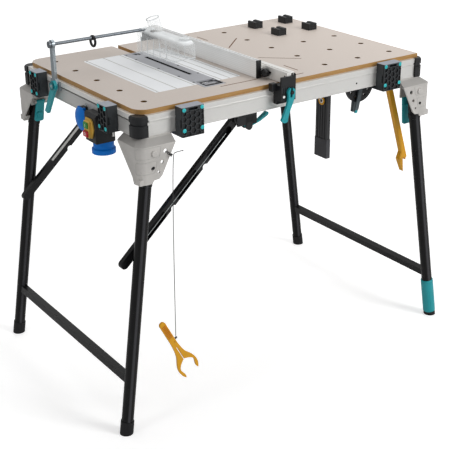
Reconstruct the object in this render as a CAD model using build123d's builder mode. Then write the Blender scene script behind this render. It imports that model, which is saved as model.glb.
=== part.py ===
from build123d import *
import math
import os

# Folding machine table with a saw insert, a rip fence, a blade guard and stored accessories.
# Frame: X along the table to the right, Y from front to back, +Z up.
# The origin lies on the floor under the middle of the table.

# Board
board_length = 922.0
board_depth = 605.0
board_thickness = 12.0
table_height = 855.0
corner_radius = 36.0
hole_pitch = 120.0
hole_radius = 8.2
first_column_x = 50.0
left_column_x = -406.5
slit_width = 3.0
slit_depth = 4.0

# Saw insert in the board
insert_left = -344.0
insert_right = -80.0
insert_half_depth = 194.0
insert_corner_radius = 3.0
insert_gap = 0.5
strip_left = -218.0
strip_right = -151.0
strip_front = -228.0
strip_thickness = 7.0
plate_ledge = 10.0
groove_margin = 9.0
groove_width = 1.2
groove_depth = 0.8
blade_slot_x = -177.5
blade_slot_width = 5.0
blade_slot_back = 130.0
blade_slot_front = -101.0
back_slot_left = -190.0
back_slot_right = -171.0
back_slot_radius = 9.0

latch_left = -208.0
latch_right = -160.0
latch_front = -216.0
latch_back = -170.0
latch_bar = 16.0
latch_drop = 2.4
strip_back_step = 16.0
bearer_width = 30.0
bearer_height = 25.0
bearer_wall = 2.5

# Frame rails
rail_outer_x = 471.0
rail_outer_y = 312.0
rail_depth = 24.0
rail_height = 53.0
rail_panel_inset = 1.0
t_slot_width = 4.0
t_slot_height = 38.0
t_slot_depth = 10.5
t_slot_inside = 9.0
runner_offset = 9.0
runner_opening = 8.0
runner_lip = 3.0
runner_width = 13.0
runner_height = 8.0
chamber_low = 14.0
chamber_high = 31.0
chamber_wall = 3.0

# Corner connectors
connector_size = 34.0
connector_overhang = 5.0
connector_radius = 22.0
connector_neck_low = 30.0
connector_neck_high = 37.0
connector_neck_inset = 3.0
connector_chamfer = 3.5
tongue_length = 18.0
tongue_gap = 0.3

# Leg brackets
bracket_outer_x = 486.0
bracket_outer_y = 339.0
bracket_flare_height = 16.0
bracket_flare_width = 21.0
bracket_wall = 4.0
bracket_top_plate = 5.0
bracket_bottom = 679.0
bracket_front_reach = 380.0
wing_tip_x = 421.0
wing_tip_z = 696.0
wing_foot_x = 430.0
wing_foot_z = 688.0
wing_end_x = 445.0
wing_end_z = 687.0
collar_end_x = 452.0
bracket_side_reach = 240.0
bracket_side_low_y = 305.0
bracket_low_height = 700.0
bracket_collar_height = 14.0
bracket_radius = 22.0
wing_holes = ((410.0, 756.0, 5.5), (420.5, 730.0, 4.25), (431.0, 706.0, 3.25), (448.0, 718.0, 4.0))
seat_gap = 0.3
cheek_left = 414.0
cheek_right = 470.0
cheek_bottom = 728.0
cheek_thickness = 4.0

# Legs
pivot_x = 442.0
pivot_y = 309.5
pivot_z = 755.0
foot_x = 558.0
foot_y = 334.5
leg_radius = 16.0
leg_wall = 1.8
leg_above_pivot = 18.0
leg_end_height = 9.0
cap_radius = 18.0
cap_length = 36.0
cross_bar_height = 150.0
cross_bar_size = 20.0
cross_bar_wall = 1.5
bolt_radius = 5.0
running_gap = 0.05
bolt_head_radius = 8.0
bolt_head_height = 3.5
lock_hole_radius = 4.5
lock_pin_height = 700.0

# Adjustable foot
sleeve_radius = 19.0
sleeve_top_height = 126.0
sleeve_bottom_height = 13.0
sleeve_tube_height = 52.0
sleeve_ring_height = 7.0
sleeve_grip_count = 12

# Braces and their sliders
brace_leg_distance = 271.0
brace_length = 430.0
brace_inner_y = 279.0
brace_outer_y = 293.0
brace_half_height = 11.5
brace_wall = 2.0
brace_tip = 40.0
brace_notch_radius = 9.0
brace_top_z = 777.0
slider_left_overhang = 11.5
slider_length = 60.0
slider_bottom_z = 757.0
slider_inner_y = 275.6
slider_outer_y = 299.0
slider_knob_pitch = 4.0
slider_lever_reach = 66.0

# Lock levers of the legs
lever_hinge_z = 738.0
lever_hinge_y = 281.0
lever_barrel_radius = 4.5
lever_thickness = 6.0
lever_top_width = 24.0
long_lever_bottom_z = 642.0
long_lever_width = 38.0
short_lever_bottom_z = 681.0
short_lever_width = 27.0
ear_gap = 1.5

# Accessory blocks on the outside of the rails
front_block_width = 65.0
front_block_depth = 31.0
front_block_bottom = 779.0
end_block_width = 44.0
end_block_depth = 32.0
end_block_bottom = 786.0
block_top = 854.0
block_radius = 3.0
block_hook_reach = 28.0
block_slot_share = 0.42
comb_centre_share = 0.44
comb_height_share = 0.84
front_block_left_x = -330.0
front_block_right_x = 329.0
end_block_back_y = 186.0
end_block_front_y = -199.0
comb_radius = 7.8
comb_wall = 1.6
comb_rim = 2.2
screw_margin = 6.5
screw_boss_radius = 5.2
screw_low_z = 796.0
screw_high_z = 850.0
side_slot_width = 4.2
side_slot_length_share = 0.3
side_slot_centre_share = 0.45
side_slot_forward_share = 0.8
comb_depth = 3.0

# Switch box under the left rail
switch_front_y = -150.0
switch_back_y = -92.0
switch_left_x = -497.0
switch_right_x = -441.0
switch_top_z = 812.0
switch_bottom_z = 736.0
switch_radius = 3.0
switch_wall = 3.0
plate_cut = 11.0
frame_wall = 2.5
red_button_extra = 1.5
plate_front_y = -143.0
plate_back_y = -103.0
plate_top_z = 799.0
plate_bottom_z = 748.0
plate_thickness = 3.0
plate_rise = 8.0
button_width = 21.0
button_height = 15.0
button_rise = 3.5
button_travel = 3.0
green_z = 783.0
red_z = 761.0
button_y = -121.0
lid_radius = 31.0
lid_centre_y = -54.0
lid_centre_z = 779.0
lid_face_x = -485.0
lid_dome = 8.0
lid_ear_radius = 3.2
lid_ear_width = 20.0
lid_lug_width = 4.0
lid_pin_radius = 1.6
socket_radius = 26.0
socket_hole_radius = 20.0
socket_hole_depth = 25.0
inlet_x = -461.0
inlet_y = -120.0
inlet_radius = 27.0
inlet_rim_radius = 31.0
inlet_length = 34.0
inlet_rim_height = 12.0

# Stored accessories behind the front rail
stored_y = -255.0
hook_low = 800.0
hook_high = 822.0
bar_x = 168.0
bar_thickness = 12.0
bar_front_y = -268.0
bar_back_y = -216.0
bar_sleeve_z = 645.0
bar_bottom_z = 590.0
bar_sleeve_wall = 1.5
bar_rib_pitch = 10.0
bar_rib_width = 2.4
bar_rib_depth = 1.4
disc_x = 287.0
disc_z = 782.0
disc_radius = 50.0
disc_thickness = 8.0
disc_lever_reach = 78.0
stick_top_x = 390.0
stick_top_z = 812.0
stick_slant = 17.9
stick_width = 16.0
stick_thickness = 15.0
stick_length = 315.0
stick_spread = 1.5
stick_heel_radius = 9.0
stick_notch_offset = 2.0
stick_notch_depth = 15.0
stick_toe_length = 30.0
stick_toe_offset = 22.0
stick_edge_radius = 1.5

# Blade guard
guard_upright_x = -477.0
guard_upright_y = 105.0
arm_z = 941.0
arm_radius = 4.6
arm_right_x = -190.0
arm_left_x = -476.0
hood_left = -206.0
hood_right = -150.0
hood_back = 131.0
hood_front = -104.0
hood_bottom = 872.0
hood_top = 943.0
hood_wall = 2.4
hood_edge_radius = 18.0
spout_radius = 19.0
spout_wall = 2.0
hood_hub_radius = 8.0
hood_hub_length = 20.0
ring_x = -356.0
ring_radius = 13.5
ring_wire = 3.6
ring_collar = 2.2
ring_collar_length = 8.0
ring_drop = 9.5
upright_thickness = 8.0
upright_width = 24.0
hub_radius = 14.0
hub_z = 832.0
lever_tip_y = 150.0
lever_tip_z = 744.0
spout_base_y = 59.0
spout_base_z = 930.0
spout_tip_y = 86.0
spout_tip_z = 974.0
hood_rise_y = -66.0
hood_rise_z = 883.0
hood_nose_z = 899.0
hood_rib_shares = (0.12, 0.26, 0.4, 0.54, 0.68)

# Rip fence
beam_left = -40.0
beam_right = -17.0
beam_bottom = 856.0
beam_top = 888.0
beam_half_length = 340.0
face_left = -63.0
face_right = -50.0
face_top = 902.0
face_front = -240.0
face_back = 232.0
clamp_outer_y = 345.0
clamp_ear_left = -78.0
clamp_left = -62.0
clamp_right = -15.0
clamp_bottom = 805.0
clamp_top = 884.0
clamp_pin_x = -33.0
clamp_pin_z = 838.0
clamp_pin_length = 11.0
clamp_lip = 5.0
clamp_rib_pitch = 6.0
clamp_rib_width = 3.0
clamp_rib_height = 30.0
clamp_rib_depth = 1.5
slide_gap = 0.4
slot_low = 868.0
slot_high = 876.0
slot_depth = 10.0
beam_edge_radius = 1.0
beam_cell_width = 7.0
beam_cell_margin = 3.0
beam_groove_width = 6.0
beam_groove_depth = 2.0
face_cells_z = (862.0, 882.0)
face_cell_height = 10.0
face_wall = 2.5
face_groove = 6.0
face_key_height = 18.0
knob_y = -259.0
knob_radius = 11.0
knob_depth = 10.0
knob_gap = 4.0
knob_lobe_radius = 3.4
knob_lobe_offset = 2.0
knob_neck_radius = 6.0
clamp_lever_thickness = 7.0
clamp_lever_radius = 12.0
clamp_lever_slot = 38.0
clamp_lever_slot_width = 7.0
clamp_lever_tilt = 85.0

# Bench dogs
dog_width = 32.0
dog_depth = 38.0
dog_height = 20.0
dog_peg_radius = 8.0
dog_corner_radius = 2.0
dog_clear = 1.0

# Hanging tool and its cord
cord_radius = 1.0
cord_y = -345.0
tool_y = -353.0
tool_thickness = 6.0
tool_x = -447.0
tool_z = 294.0
tool_slant = 63.0
tool_half_width = 8.8
tool_waist = 62.0
tool_crotch = 134.0
tool_length = 189.0
tool_spread = 30.0
tool_slit = 2.6
knot_radius = 3.6
loop_radius = 1.4

# Heights and half sizes that follow from the values above
board_bottom = table_height - board_thickness
rail_bottom = board_bottom - rail_height
rail_inner_x = rail_outer_x - rail_depth
rail_inner_y = rail_outer_y - rail_depth
connector_x = rail_outer_x + connector_overhang - connector_size
connector_y = rail_outer_y + connector_overhang - connector_size
overrun = 1000.0
outward = Axis((0, 0, 0), (1, 1, 0))


def box_between(low, high, mode=Mode.ADD):
    """A box from its low corner to its high corner."""
    centre = [(a + b) / 2 for a, b in zip(low, high)]
    with Locations(tuple(centre)):
        Box(*[b - a for a, b in zip(low, high)], mode=mode)


def rod_between(start, end, radius, mode=Mode.ADD):
    """A round rod from one point to another."""
    path = Vector(*end) - Vector(*start)
    with Locations(Plane(origin=start, z_dir=path)):
        Cylinder(radius, path.length, align=(Align.CENTER, Align.CENTER, Align.MIN), mode=mode)


def outline(points):
    """The closed face of an outline made of straight edges."""
    with BuildLine() as border:
        Polyline(*points, close=True)
    make_face(border.edges())


def save(builder, name):
    """Label a finished piece and write it under its own name."""
    builder.part.label = name
    export_step(builder.part, "parts/" + name + ".step")
    print(name, "volume", round(builder.part.volume), "faces", len(builder.part.faces()))


os.makedirs("parts", exist_ok=True)

# Table board
hole_columns = [first_column_x + hole_pitch * step for step in range(4)] + [left_column_x]
hole_rows = [hole_pitch * step for step in range(-2, 3)]
slits = [
    ((-181.0, -246.0), (-65.0, -246.0)),
    ((37.0, -273.0), (68.0, -273.0)),
    ((42.0, 277.0), (63.0, 277.0)),
    ((75.0, -181.0), (75.0, -240.0)),
    ((72.0, 187.0), (72.0, 243.0)),
    ((71.0, -69.0), (159.0, -151.0)),
    ((71.0, 74.0), (157.0, 156.0)),
]
with BuildPart() as table_board:
    with BuildSketch(Plane.XY.offset(board_bottom)) as board_sketch:
        Rectangle(board_length, board_depth)
        fillet(board_sketch.vertices().group_by(Axis.X)[0], corner_radius)
        with Locations(((insert_left + insert_right) / 2, 0)):
            RectangleRounded(
                insert_right - insert_left,
                2 * insert_half_depth,
                insert_corner_radius,
                mode=Mode.SUBTRACT,
            )
        with Locations([(x, y) for x in hole_columns for y in hole_rows]):
            Circle(hole_radius, mode=Mode.SUBTRACT)
        slot_back = board_depth / 2
        with BuildLine():
            Polyline(
                (back_slot_left, insert_half_depth - insert_gap),
                (back_slot_right, insert_half_depth - insert_gap),
                (back_slot_right, slot_back + back_slot_radius),
                (back_slot_left - back_slot_radius, slot_back + back_slot_radius),
                (back_slot_left - back_slot_radius, slot_back),
            )
            RadiusArc(
                (back_slot_left - back_slot_radius, slot_back),
                (back_slot_left, slot_back - back_slot_radius),
                back_slot_radius,
            )
            Line(
                (back_slot_left, slot_back - back_slot_radius),
                (back_slot_left, insert_half_depth - insert_gap),
            )
        make_face(mode=Mode.SUBTRACT)
    extrude(amount=board_thickness)
    with BuildSketch(Plane.XY.offset(table_height)):
        for start, end in slits:
            run = Vector(*end) - Vector(*start)
            with Locations(Vector(*start) + run / 2):
                SlotCenterToCenter(
                    run.length, slit_width, rotation=math.degrees(math.atan2(run.Y, run.X))
                )
    extrude(amount=-slit_depth, mode=Mode.SUBTRACT)
    box_between(
        (strip_left - insert_gap, strip_front - insert_gap, table_height - strip_thickness),
        (strip_right + insert_gap, 0, table_height + strip_thickness),
        mode=Mode.SUBTRACT,
    )
save(table_board, "table_board")

# Plates of the insert: grooved on top, with a ledge that carries the saw strip
plate_low = insert_half_depth - insert_gap
with BuildPart() as insert_plates:
    for outer_x, inner_x, ledge_x in (
        (insert_left + insert_gap, strip_left, strip_left + plate_ledge),
        (insert_right - insert_gap, strip_right, strip_right - plate_ledge),
    ):
        left, right = min(outer_x, inner_x), max(outer_x, inner_x)
        with BuildSketch(Plane.XY.offset(board_bottom)) as plate:
            with Locations(((left + right) / 2, 0)):
                Rectangle(right - left, 2 * plate_low)
            outer_corners = [
                corner for corner in plate.vertices() if abs(corner.X - outer_x) < insert_gap
            ]
            fillet(outer_corners, insert_corner_radius)
        extrude(amount=board_thickness)
        ledge_left, ledge_right = min(ledge_x, inner_x), max(ledge_x, inner_x)
        box_between(
            (ledge_left, -plate_low, board_bottom),
            (ledge_right, plate_low, table_height - strip_thickness),
        )
        with BuildSketch(Plane.XY.offset(table_height)):
            for groove_x in (left + groove_margin, (left + right) / 2, right - groove_margin):
                with Locations((groove_x, 0)):
                    Rectangle(groove_width, 2 * plate_low)
        extrude(amount=-groove_depth, mode=Mode.SUBTRACT)
save(insert_plates, "insert_plates")

# Saw strip: a flat plate with the blade slot, a latch window at the front and a small step behind
with BuildPart() as saw_strip:
    box_between(
        (strip_left + insert_gap, strip_front, table_height - strip_thickness),
        (strip_right - insert_gap, plate_low, table_height),
    )
    fillet(saw_strip.edges().filter_by(Axis.Z), insert_corner_radius)
    with BuildSketch(Plane.XY.offset(table_height)):
        with Locations((blade_slot_x, (blade_slot_back + blade_slot_front) / 2)):
            SlotOverall(
                blade_slot_back - blade_slot_front,
                blade_slot_width,
                rotation=90,
            )
        with Locations(((latch_left + latch_right) / 2, (latch_front + latch_back) / 2)):
            RectangleRounded(
                latch_right - latch_left, latch_back - latch_front, insert_corner_radius
            )
    extrude(amount=-strip_thickness, mode=Mode.SUBTRACT)
    box_between(
        (latch_left, (latch_front + latch_back) / 2 - latch_bar / 2, table_height - strip_thickness),
        (latch_right, (latch_front + latch_back) / 2 + latch_bar / 2, table_height - latch_drop),
    )
    with BuildSketch(Plane.XY.offset(table_height)):
        with Locations((blade_slot_x, plate_low - strip_back_step)):
            SlotOverall(2 * strip_back_step, strip_back_step)
    extrude(amount=-latch_drop, mode=Mode.SUBTRACT)
save(saw_strip, "saw_strip")

# Two bearer profiles under the long sides of the insert
with BuildPart() as insert_bearers:
    with BuildSketch(Plane.XZ.offset(-rail_inner_y)):
        for centre_x in (insert_left, insert_right):
            with Locations((centre_x, board_bottom - bearer_height / 2)):
                Rectangle(bearer_width, bearer_height)
                Rectangle(
                    bearer_width - 2 * bearer_wall,
                    bearer_height - 2 * bearer_wall,
                    mode=Mode.SUBTRACT,
                )
    extrude(amount=2 * rail_inner_y)
save(insert_bearers, "insert_bearers")


def rail_profile():
    """Cross-section of the frame rail: first axis outward from its inner face, second axis up."""
    outline(
        [
            (0, 0),
            (rail_depth, 0),
            (rail_depth, runner_lip),
            (rail_depth - rail_panel_inset, runner_lip + rail_panel_inset),
            (rail_depth - rail_panel_inset, t_slot_height - t_slot_width),
            (rail_depth, t_slot_height - t_slot_width + rail_panel_inset),
            (rail_depth, rail_height),
            (0, rail_height),
        ]
    )
    cuts = [
        (runner_offset, runner_lip / 2, runner_opening, runner_lip),
        (runner_offset, runner_lip + runner_height / 2, runner_width, runner_height),
        (rail_depth - t_slot_depth / 2, t_slot_height, t_slot_depth, t_slot_width),
        (rail_depth - t_slot_depth + t_slot_width / 2, t_slot_height, t_slot_width, t_slot_inside),
        (
            (rail_depth - rail_panel_inset) / 2,
            (chamber_low + chamber_high) / 2,
            rail_depth - rail_panel_inset - 2 * chamber_wall,
            chamber_high - chamber_low,
        ),
    ]
    for across, up, width, height in cuts:
        with Locations((across, up)):
            Rectangle(width, height, mode=Mode.SUBTRACT)


# Front and back rails run between the corner connectors
with BuildPart() as back_rail:
    with BuildSketch(Plane(origin=(-connector_x, rail_inner_y, rail_bottom), x_dir=(0, 1, 0), z_dir=(1, 0, 0))):
        rail_profile()
    extrude(amount=2 * connector_x)
save(back_rail, "back_rail")
with BuildPart() as front_rail:
    mirror(back_rail.part, about=Plane.XZ)
save(front_rail, "front_rail")

# End rails
with BuildPart() as right_rail:
    with BuildSketch(
        Plane(origin=(rail_inner_x, connector_y, rail_bottom), x_dir=(1, 0, 0), z_dir=(0, -1, 0))
    ):
        rail_profile()
    extrude(amount=2 * connector_y)
save(right_rail, "right_rail")
with BuildPart() as left_rail:
    mirror(right_rail.part, about=Plane.YZ)
save(left_rail, "left_rail")

# Corner connectors: a rounded block with a neck under its collar and a tongue into each rail
connector_layers = [
    (0, connector_neck_low, 0),
    (connector_neck_low, connector_neck_high, connector_neck_inset),
    (connector_neck_high, rail_height, 0),
]
tongue_inner = chamber_wall + tongue_gap
tongue_outer = rail_depth - rail_panel_inset - chamber_wall - tongue_gap
tongue_low = rail_bottom + chamber_low + tongue_gap
tongue_high = rail_bottom + chamber_high - tongue_gap
with BuildPart() as one_connector:
    for low, high, inset in connector_layers:
        with BuildSketch(Plane.XY.offset(rail_bottom + low)) as layer:
            with Locations((connector_x, connector_y)):
                Rectangle(
                    connector_size - inset, connector_size - inset, align=(Align.MIN, Align.MIN)
                )
            fillet(layer.vertices().sort_by(outward)[-1], connector_radius - inset)
        extrude(amount=high - low)
    outer_rim = one_connector.faces().sort_by(Axis.Z)[-1].edges()
    rim_edges = [
        edge
        for edge in outer_rim
        if edge.center().X > connector_x + tongue_gap and edge.center().Y > connector_y + tongue_gap
    ]
    chamfer(rim_edges, connector_chamfer)
    box_between(
        (connector_x - tongue_length, rail_inner_y + tongue_inner, tongue_low),
        (connector_x, rail_inner_y + tongue_outer, tongue_high),
    )
    box_between(
        (rail_inner_x + tongue_inner, connector_y - tongue_length, tongue_low),
        (rail_inner_x + tongue_outer, connector_y, tongue_high),
    )
with BuildPart() as corner_connectors:
    add(one_connector.part)
    mirror(one_connector.part, about=Plane.XZ)
    mirror(corner_connectors.part, about=Plane.YZ)
save(corner_connectors, "corner_connectors")

# Leg axis in the back right corner, from the pivot down to the foot
pivot_point = Vector(pivot_x, pivot_y, pivot_z)
foot_point = Vector(foot_x, foot_y, 0)
leg_path = foot_point - pivot_point
leg_length = leg_path.length
leg_plane = Plane(origin=pivot_point, x_dir=(0, 1, 0), z_dir=leg_path)
splay = math.degrees(math.atan2(foot_x - pivot_x, pivot_z))


def leg_point(height):
    """Point of the leg's axis at a height above the floor."""
    return pivot_point + leg_path * ((pivot_z - height) / pivot_z)


def flared_corner(low_x, low_y, high_x, high_y, top, radius):
    """Block from under the bracket up to a level, flared inward along its two outer top edges."""
    with BuildPart() as block:
        levels = (
            (bracket_bottom, 0),
            (top - bracket_flare_height, 0),
            (top, bracket_flare_width),
        )
        for (low, low_inset), (high, high_inset) in zip(levels, levels[1:]):
            for level, inset in ((low, low_inset), (high, high_inset)):
                with BuildSketch(Plane.XY.offset(level)) as section:
                    with Locations((low_x, low_y)):
                        Rectangle(
                            high_x - inset - low_x,
                            high_y - inset - low_y,
                            align=(Align.MIN, Align.MIN),
                        )
                    fillet(section.vertices().sort_by(outward)[-1], radius)
            loft(ruled=True)
    return block.part


# Leg bracket: a die-cast corner with a flared top, two slanted wings and a collar
collar_point = leg_point(bracket_bottom + bracket_collar_height / 2)
with BuildPart() as bracket_back_right:
    add(
        flared_corner(
            bracket_front_reach - bracket_wall,
            bracket_side_reach - bracket_wall,
            bracket_outer_x,
            bracket_outer_y,
            rail_bottom,
            bracket_radius,
        )
    )
    add(
        flared_corner(
            0,
            0,
            bracket_outer_x - bracket_wall,
            bracket_outer_y - bracket_wall,
            rail_bottom - bracket_top_plate,
            bracket_radius - bracket_wall,
        ),
        mode=Mode.SUBTRACT,
    )
    # Collar under the leg's outer side
    collar_low_y = collar_point.Y - leg_radius / 4
    box_between(
        (collar_point.X, collar_low_y, bracket_bottom),
        (bracket_outer_x - bracket_wall / 2, bracket_outer_y - bracket_wall / 2, bracket_bottom + bracket_collar_height),
    )
    # Inner cheek for the pivot bolt
    box_between(
        (cheek_left, rail_inner_y, cheek_bottom),
        (cheek_right, rail_inner_y + cheek_thickness, rail_bottom - bracket_top_plate / 2),
    )
    # The top flange follows the two rails only
    box_between(
        (0, 0, rail_bottom - 2 * bracket_top_plate),
        (rail_inner_x - bracket_wall, rail_inner_y - bracket_wall, rail_bottom + bracket_wall),
        mode=Mode.SUBTRACT,
    )
    # Slanted wings
    with BuildSketch(Plane.XZ.offset(overrun)):
        outline(
            [
                (0, rail_bottom + bracket_wall),
                (bracket_front_reach, rail_bottom + bracket_wall),
                (bracket_front_reach, rail_bottom - bracket_flare_height),
                (wing_tip_x, wing_tip_z),
                (wing_foot_x, wing_foot_z),
                (wing_end_x, wing_end_z),
                (collar_end_x, bracket_bottom - bracket_wall),
                (0, bracket_bottom - bracket_wall),
            ]
        )
    extrude(amount=-2 * overrun, mode=Mode.SUBTRACT)
    with BuildSketch(Plane.YZ.offset(-overrun)):
        outline(
            [
                (0, rail_bottom + bracket_wall),
                (bracket_side_reach, rail_bottom + bracket_wall),
                (bracket_side_reach, rail_bottom - bracket_flare_height - bracket_wall),
                (bracket_side_low_y, bracket_low_height - bracket_wall),
                (bracket_side_low_y + bracket_wall * 2, bracket_bottom - bracket_wall),
                (0, bracket_bottom - bracket_wall),
            ]
        )
    extrude(amount=2 * overrun, mode=Mode.SUBTRACT)
    # Room for the leg, open towards the middle of the table where the leg folds to
    passage = leg_radius + seat_gap
    with BuildSketch(leg_plane.offset(-leg_above_pivot)):
        Circle(passage)
    extrude(amount=pivot_z - bracket_bottom + 2 * leg_above_pivot, mode=Mode.SUBTRACT)
    box_between(
        (0, collar_point.Y - passage, bracket_bottom - bracket_wall),
        (collar_point.X, collar_point.Y + passage, cheek_bottom),
        mode=Mode.SUBTRACT,
    )
    # Ears and pin that carry the lock lever
    ear_x = leg_point(lever_hinge_z).X
    for side in (-1, 1):
        near_x = ear_x + side * (lever_top_width / 2 + ear_gap)
        far_x = near_x + side * bracket_wall
        box_between(
            (min(near_x, far_x), lever_hinge_y, lever_hinge_z - lever_barrel_radius),
            (max(near_x, far_x), rail_inner_y + bracket_wall / 2, lever_hinge_z + lever_barrel_radius),
        )
        rod_between(
            (min(near_x, far_x), lever_hinge_y, lever_hinge_z),
            (max(near_x, far_x), lever_hinge_y, lever_hinge_z),
            lever_barrel_radius,
        )
    rod_between(
        (ear_x - lever_top_width / 2 - ear_gap, lever_hinge_y, lever_hinge_z),
        (ear_x + lever_top_width / 2 + ear_gap, lever_hinge_y, lever_hinge_z),
        bolt_radius / 2,
    )
    # Holes: pivot bolt, lock hole, and three drilled holes along the slanted wing
    with BuildSketch(Plane.XZ.offset(-bracket_outer_y)):
        with Locations((pivot_x, pivot_z)):
            Circle(bolt_radius + running_gap)
    extrude(amount=bracket_outer_y - rail_inner_y, mode=Mode.SUBTRACT)
    with BuildSketch(Plane.XZ.offset(-bracket_outer_y)):
        for hole_x, hole_z, radius in wing_holes:
            with Locations((hole_x, hole_z)):
                Circle(radius)
    extrude(amount=3 * bracket_wall, mode=Mode.SUBTRACT)
save(bracket_back_right, "leg_bracket_back_right")
with BuildPart() as bracket_front_right:
    mirror(bracket_back_right.part, about=Plane.XZ)
save(bracket_front_right, "leg_bracket_front_right")
with BuildPart() as bracket_back_left:
    mirror(bracket_back_right.part, about=Plane.YZ)
save(bracket_back_left, "leg_bracket_back_left")
with BuildPart() as bracket_front_left:
    mirror(bracket_front_right.part, about=Plane.YZ)
save(bracket_front_left, "leg_bracket_front_left")

# Pivot bolts with a domed head outside and a nut inside the cheek
with BuildPart() as one_bolt:
    rod_between(
        (pivot_x, rail_inner_y - bolt_head_height, pivot_z),
        (pivot_x, bracket_outer_y, pivot_z),
        bolt_radius,
    )
    with BuildSketch(Plane.XZ.offset(-bracket_outer_y)):
        with Locations((pivot_x, pivot_z)):
            Circle(bolt_head_radius)
    extrude(amount=-bolt_head_height)
    fillet(one_bolt.faces().sort_by(Axis.Y)[-1].edges(), bolt_head_height / 2)
    with BuildSketch(Plane.XZ.offset(-rail_inner_y)):
        with Locations((pivot_x, pivot_z)):
            RegularPolygon(bolt_head_radius, 6)
    extrude(amount=bolt_head_height)
with BuildPart() as leg_pivot_bolts:
    add(one_bolt.part)
    mirror(one_bolt.part, about=Plane.XZ)
    mirror(leg_pivot_bolts.part, about=Plane.YZ)
save(leg_pivot_bolts, "leg_pivot_bolts")


def build_leg_tube(end_height, with_stud):
    """Leg tube in the back right corner, from above the pivot down to a height over the floor."""
    end = leg_point(end_height)
    start = pivot_point - leg_path.normalized() * leg_above_pivot
    rod_between(start, end, leg_radius)
    rod_between(start, end, leg_radius - leg_wall, Mode.SUBTRACT)
    rod_between(
        (pivot_x, 0, pivot_z), (pivot_x, overrun, pivot_z), bolt_radius + running_gap, Mode.SUBTRACT
    )
    lock_point = leg_point(lock_pin_height)
    rod_between(
        (lock_point.X, lock_point.Y - 2 * leg_radius, lock_pin_height),
        (lock_point.X, lock_point.Y, lock_pin_height),
        lock_hole_radius,
        Mode.SUBTRACT,
    )
    if with_stud:
        stud = pivot_point + leg_path.normalized() * brace_leg_distance
        rod_between(
            (stud.X, brace_outer_y + seat_gap, stud.Z),
            (stud.X, stud.Y - leg_radius + leg_wall, stud.Z),
            bolt_radius,
        )
        rod_between(
            (stud.X, brace_outer_y + seat_gap, stud.Z),
            (stud.X, brace_outer_y + seat_gap + leg_wall, stud.Z),
            bolt_head_radius,
        )


with BuildPart() as leg_back_right:
    build_leg_tube(leg_end_height, False)
save(leg_back_right, "leg_back_right")
with BuildPart() as leg_with_stud:
    build_leg_tube(leg_end_height, True)
with BuildPart() as leg_back_left:
    mirror(leg_with_stud.part, about=Plane.YZ)
save(leg_back_left, "leg_back_left")
with BuildPart() as leg_front_left:
    mirror(leg_back_left.part, about=Plane.XZ)
save(leg_front_left, "leg_front_left")
with BuildPart() as short_leg:
    build_leg_tube(sleeve_tube_height, False)
with BuildPart() as leg_front_right:
    mirror(short_leg.part, about=Plane.XZ)
save(leg_front_right, "leg_front_right")

# Square cross bars, shaped at their ends to the round legs
bar_point = leg_point(cross_bar_height)
bar_plane = Plane(
    origin=(bar_point.X, -bar_point.Y, bar_point.Z),
    x_dir=(math.cos(math.radians(splay)), 0, math.sin(math.radians(splay))),
    z_dir=(0, 1, 0),
)
with BuildPart() as right_cross_bar:
    with BuildSketch(bar_plane):
        Rectangle(cross_bar_size, cross_bar_size)
        Rectangle(
            cross_bar_size - 2 * cross_bar_wall,
            cross_bar_size - 2 * cross_bar_wall,
            mode=Mode.SUBTRACT,
        )
    extrude(amount=2 * bar_point.Y)
    for sign in (1, -1):
        axis_plane = Plane(
            origin=(pivot_x, sign * pivot_y, pivot_z),
            x_dir=(0, 1, 0),
            z_dir=(leg_path.X, sign * leg_path.Y, leg_path.Z),
        )
        with BuildSketch(axis_plane):
            Circle(leg_radius + running_gap)
        extrude(amount=leg_length, mode=Mode.SUBTRACT)
    keep_y = bar_point.Y - leg_radius / 2
    split(bisect_by=Plane.XZ.offset(keep_y), keep=Keep.BOTTOM)
    split(bisect_by=Plane.XZ.offset(-keep_y), keep=Keep.TOP)
save(right_cross_bar, "right_cross_bar")
with BuildPart() as left_cross_bar:
    mirror(right_cross_bar.part, about=Plane.YZ)
save(left_cross_bar, "left_cross_bar")

# Foot caps: a closed sleeve round the tube end, trimmed flat where it stands on the floor
end_distance = leg_length * (pivot_z - leg_end_height) / pivot_z
with BuildPart() as one_cap:
    with BuildSketch(leg_plane.offset(leg_length - cap_length)):
        Circle(cap_radius)
    extrude(amount=cap_length + cap_radius)
    with BuildSketch(leg_plane.offset(leg_length - cap_length)):
        Circle(leg_radius + running_gap)
    extrude(amount=end_distance - leg_length + cap_length, mode=Mode.SUBTRACT)
    split(bisect_by=Plane.XY, keep=Keep.TOP)
with BuildPart() as right_foot_cap:
    add(one_cap.part)
save(right_foot_cap, "right_foot_cap")
with BuildPart() as left_foot_caps:
    mirror(one_cap.part, about=Plane.YZ)
    mirror(left_foot_caps.part, about=Plane.XZ)
save(left_foot_caps, "left_foot_caps")

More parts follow.
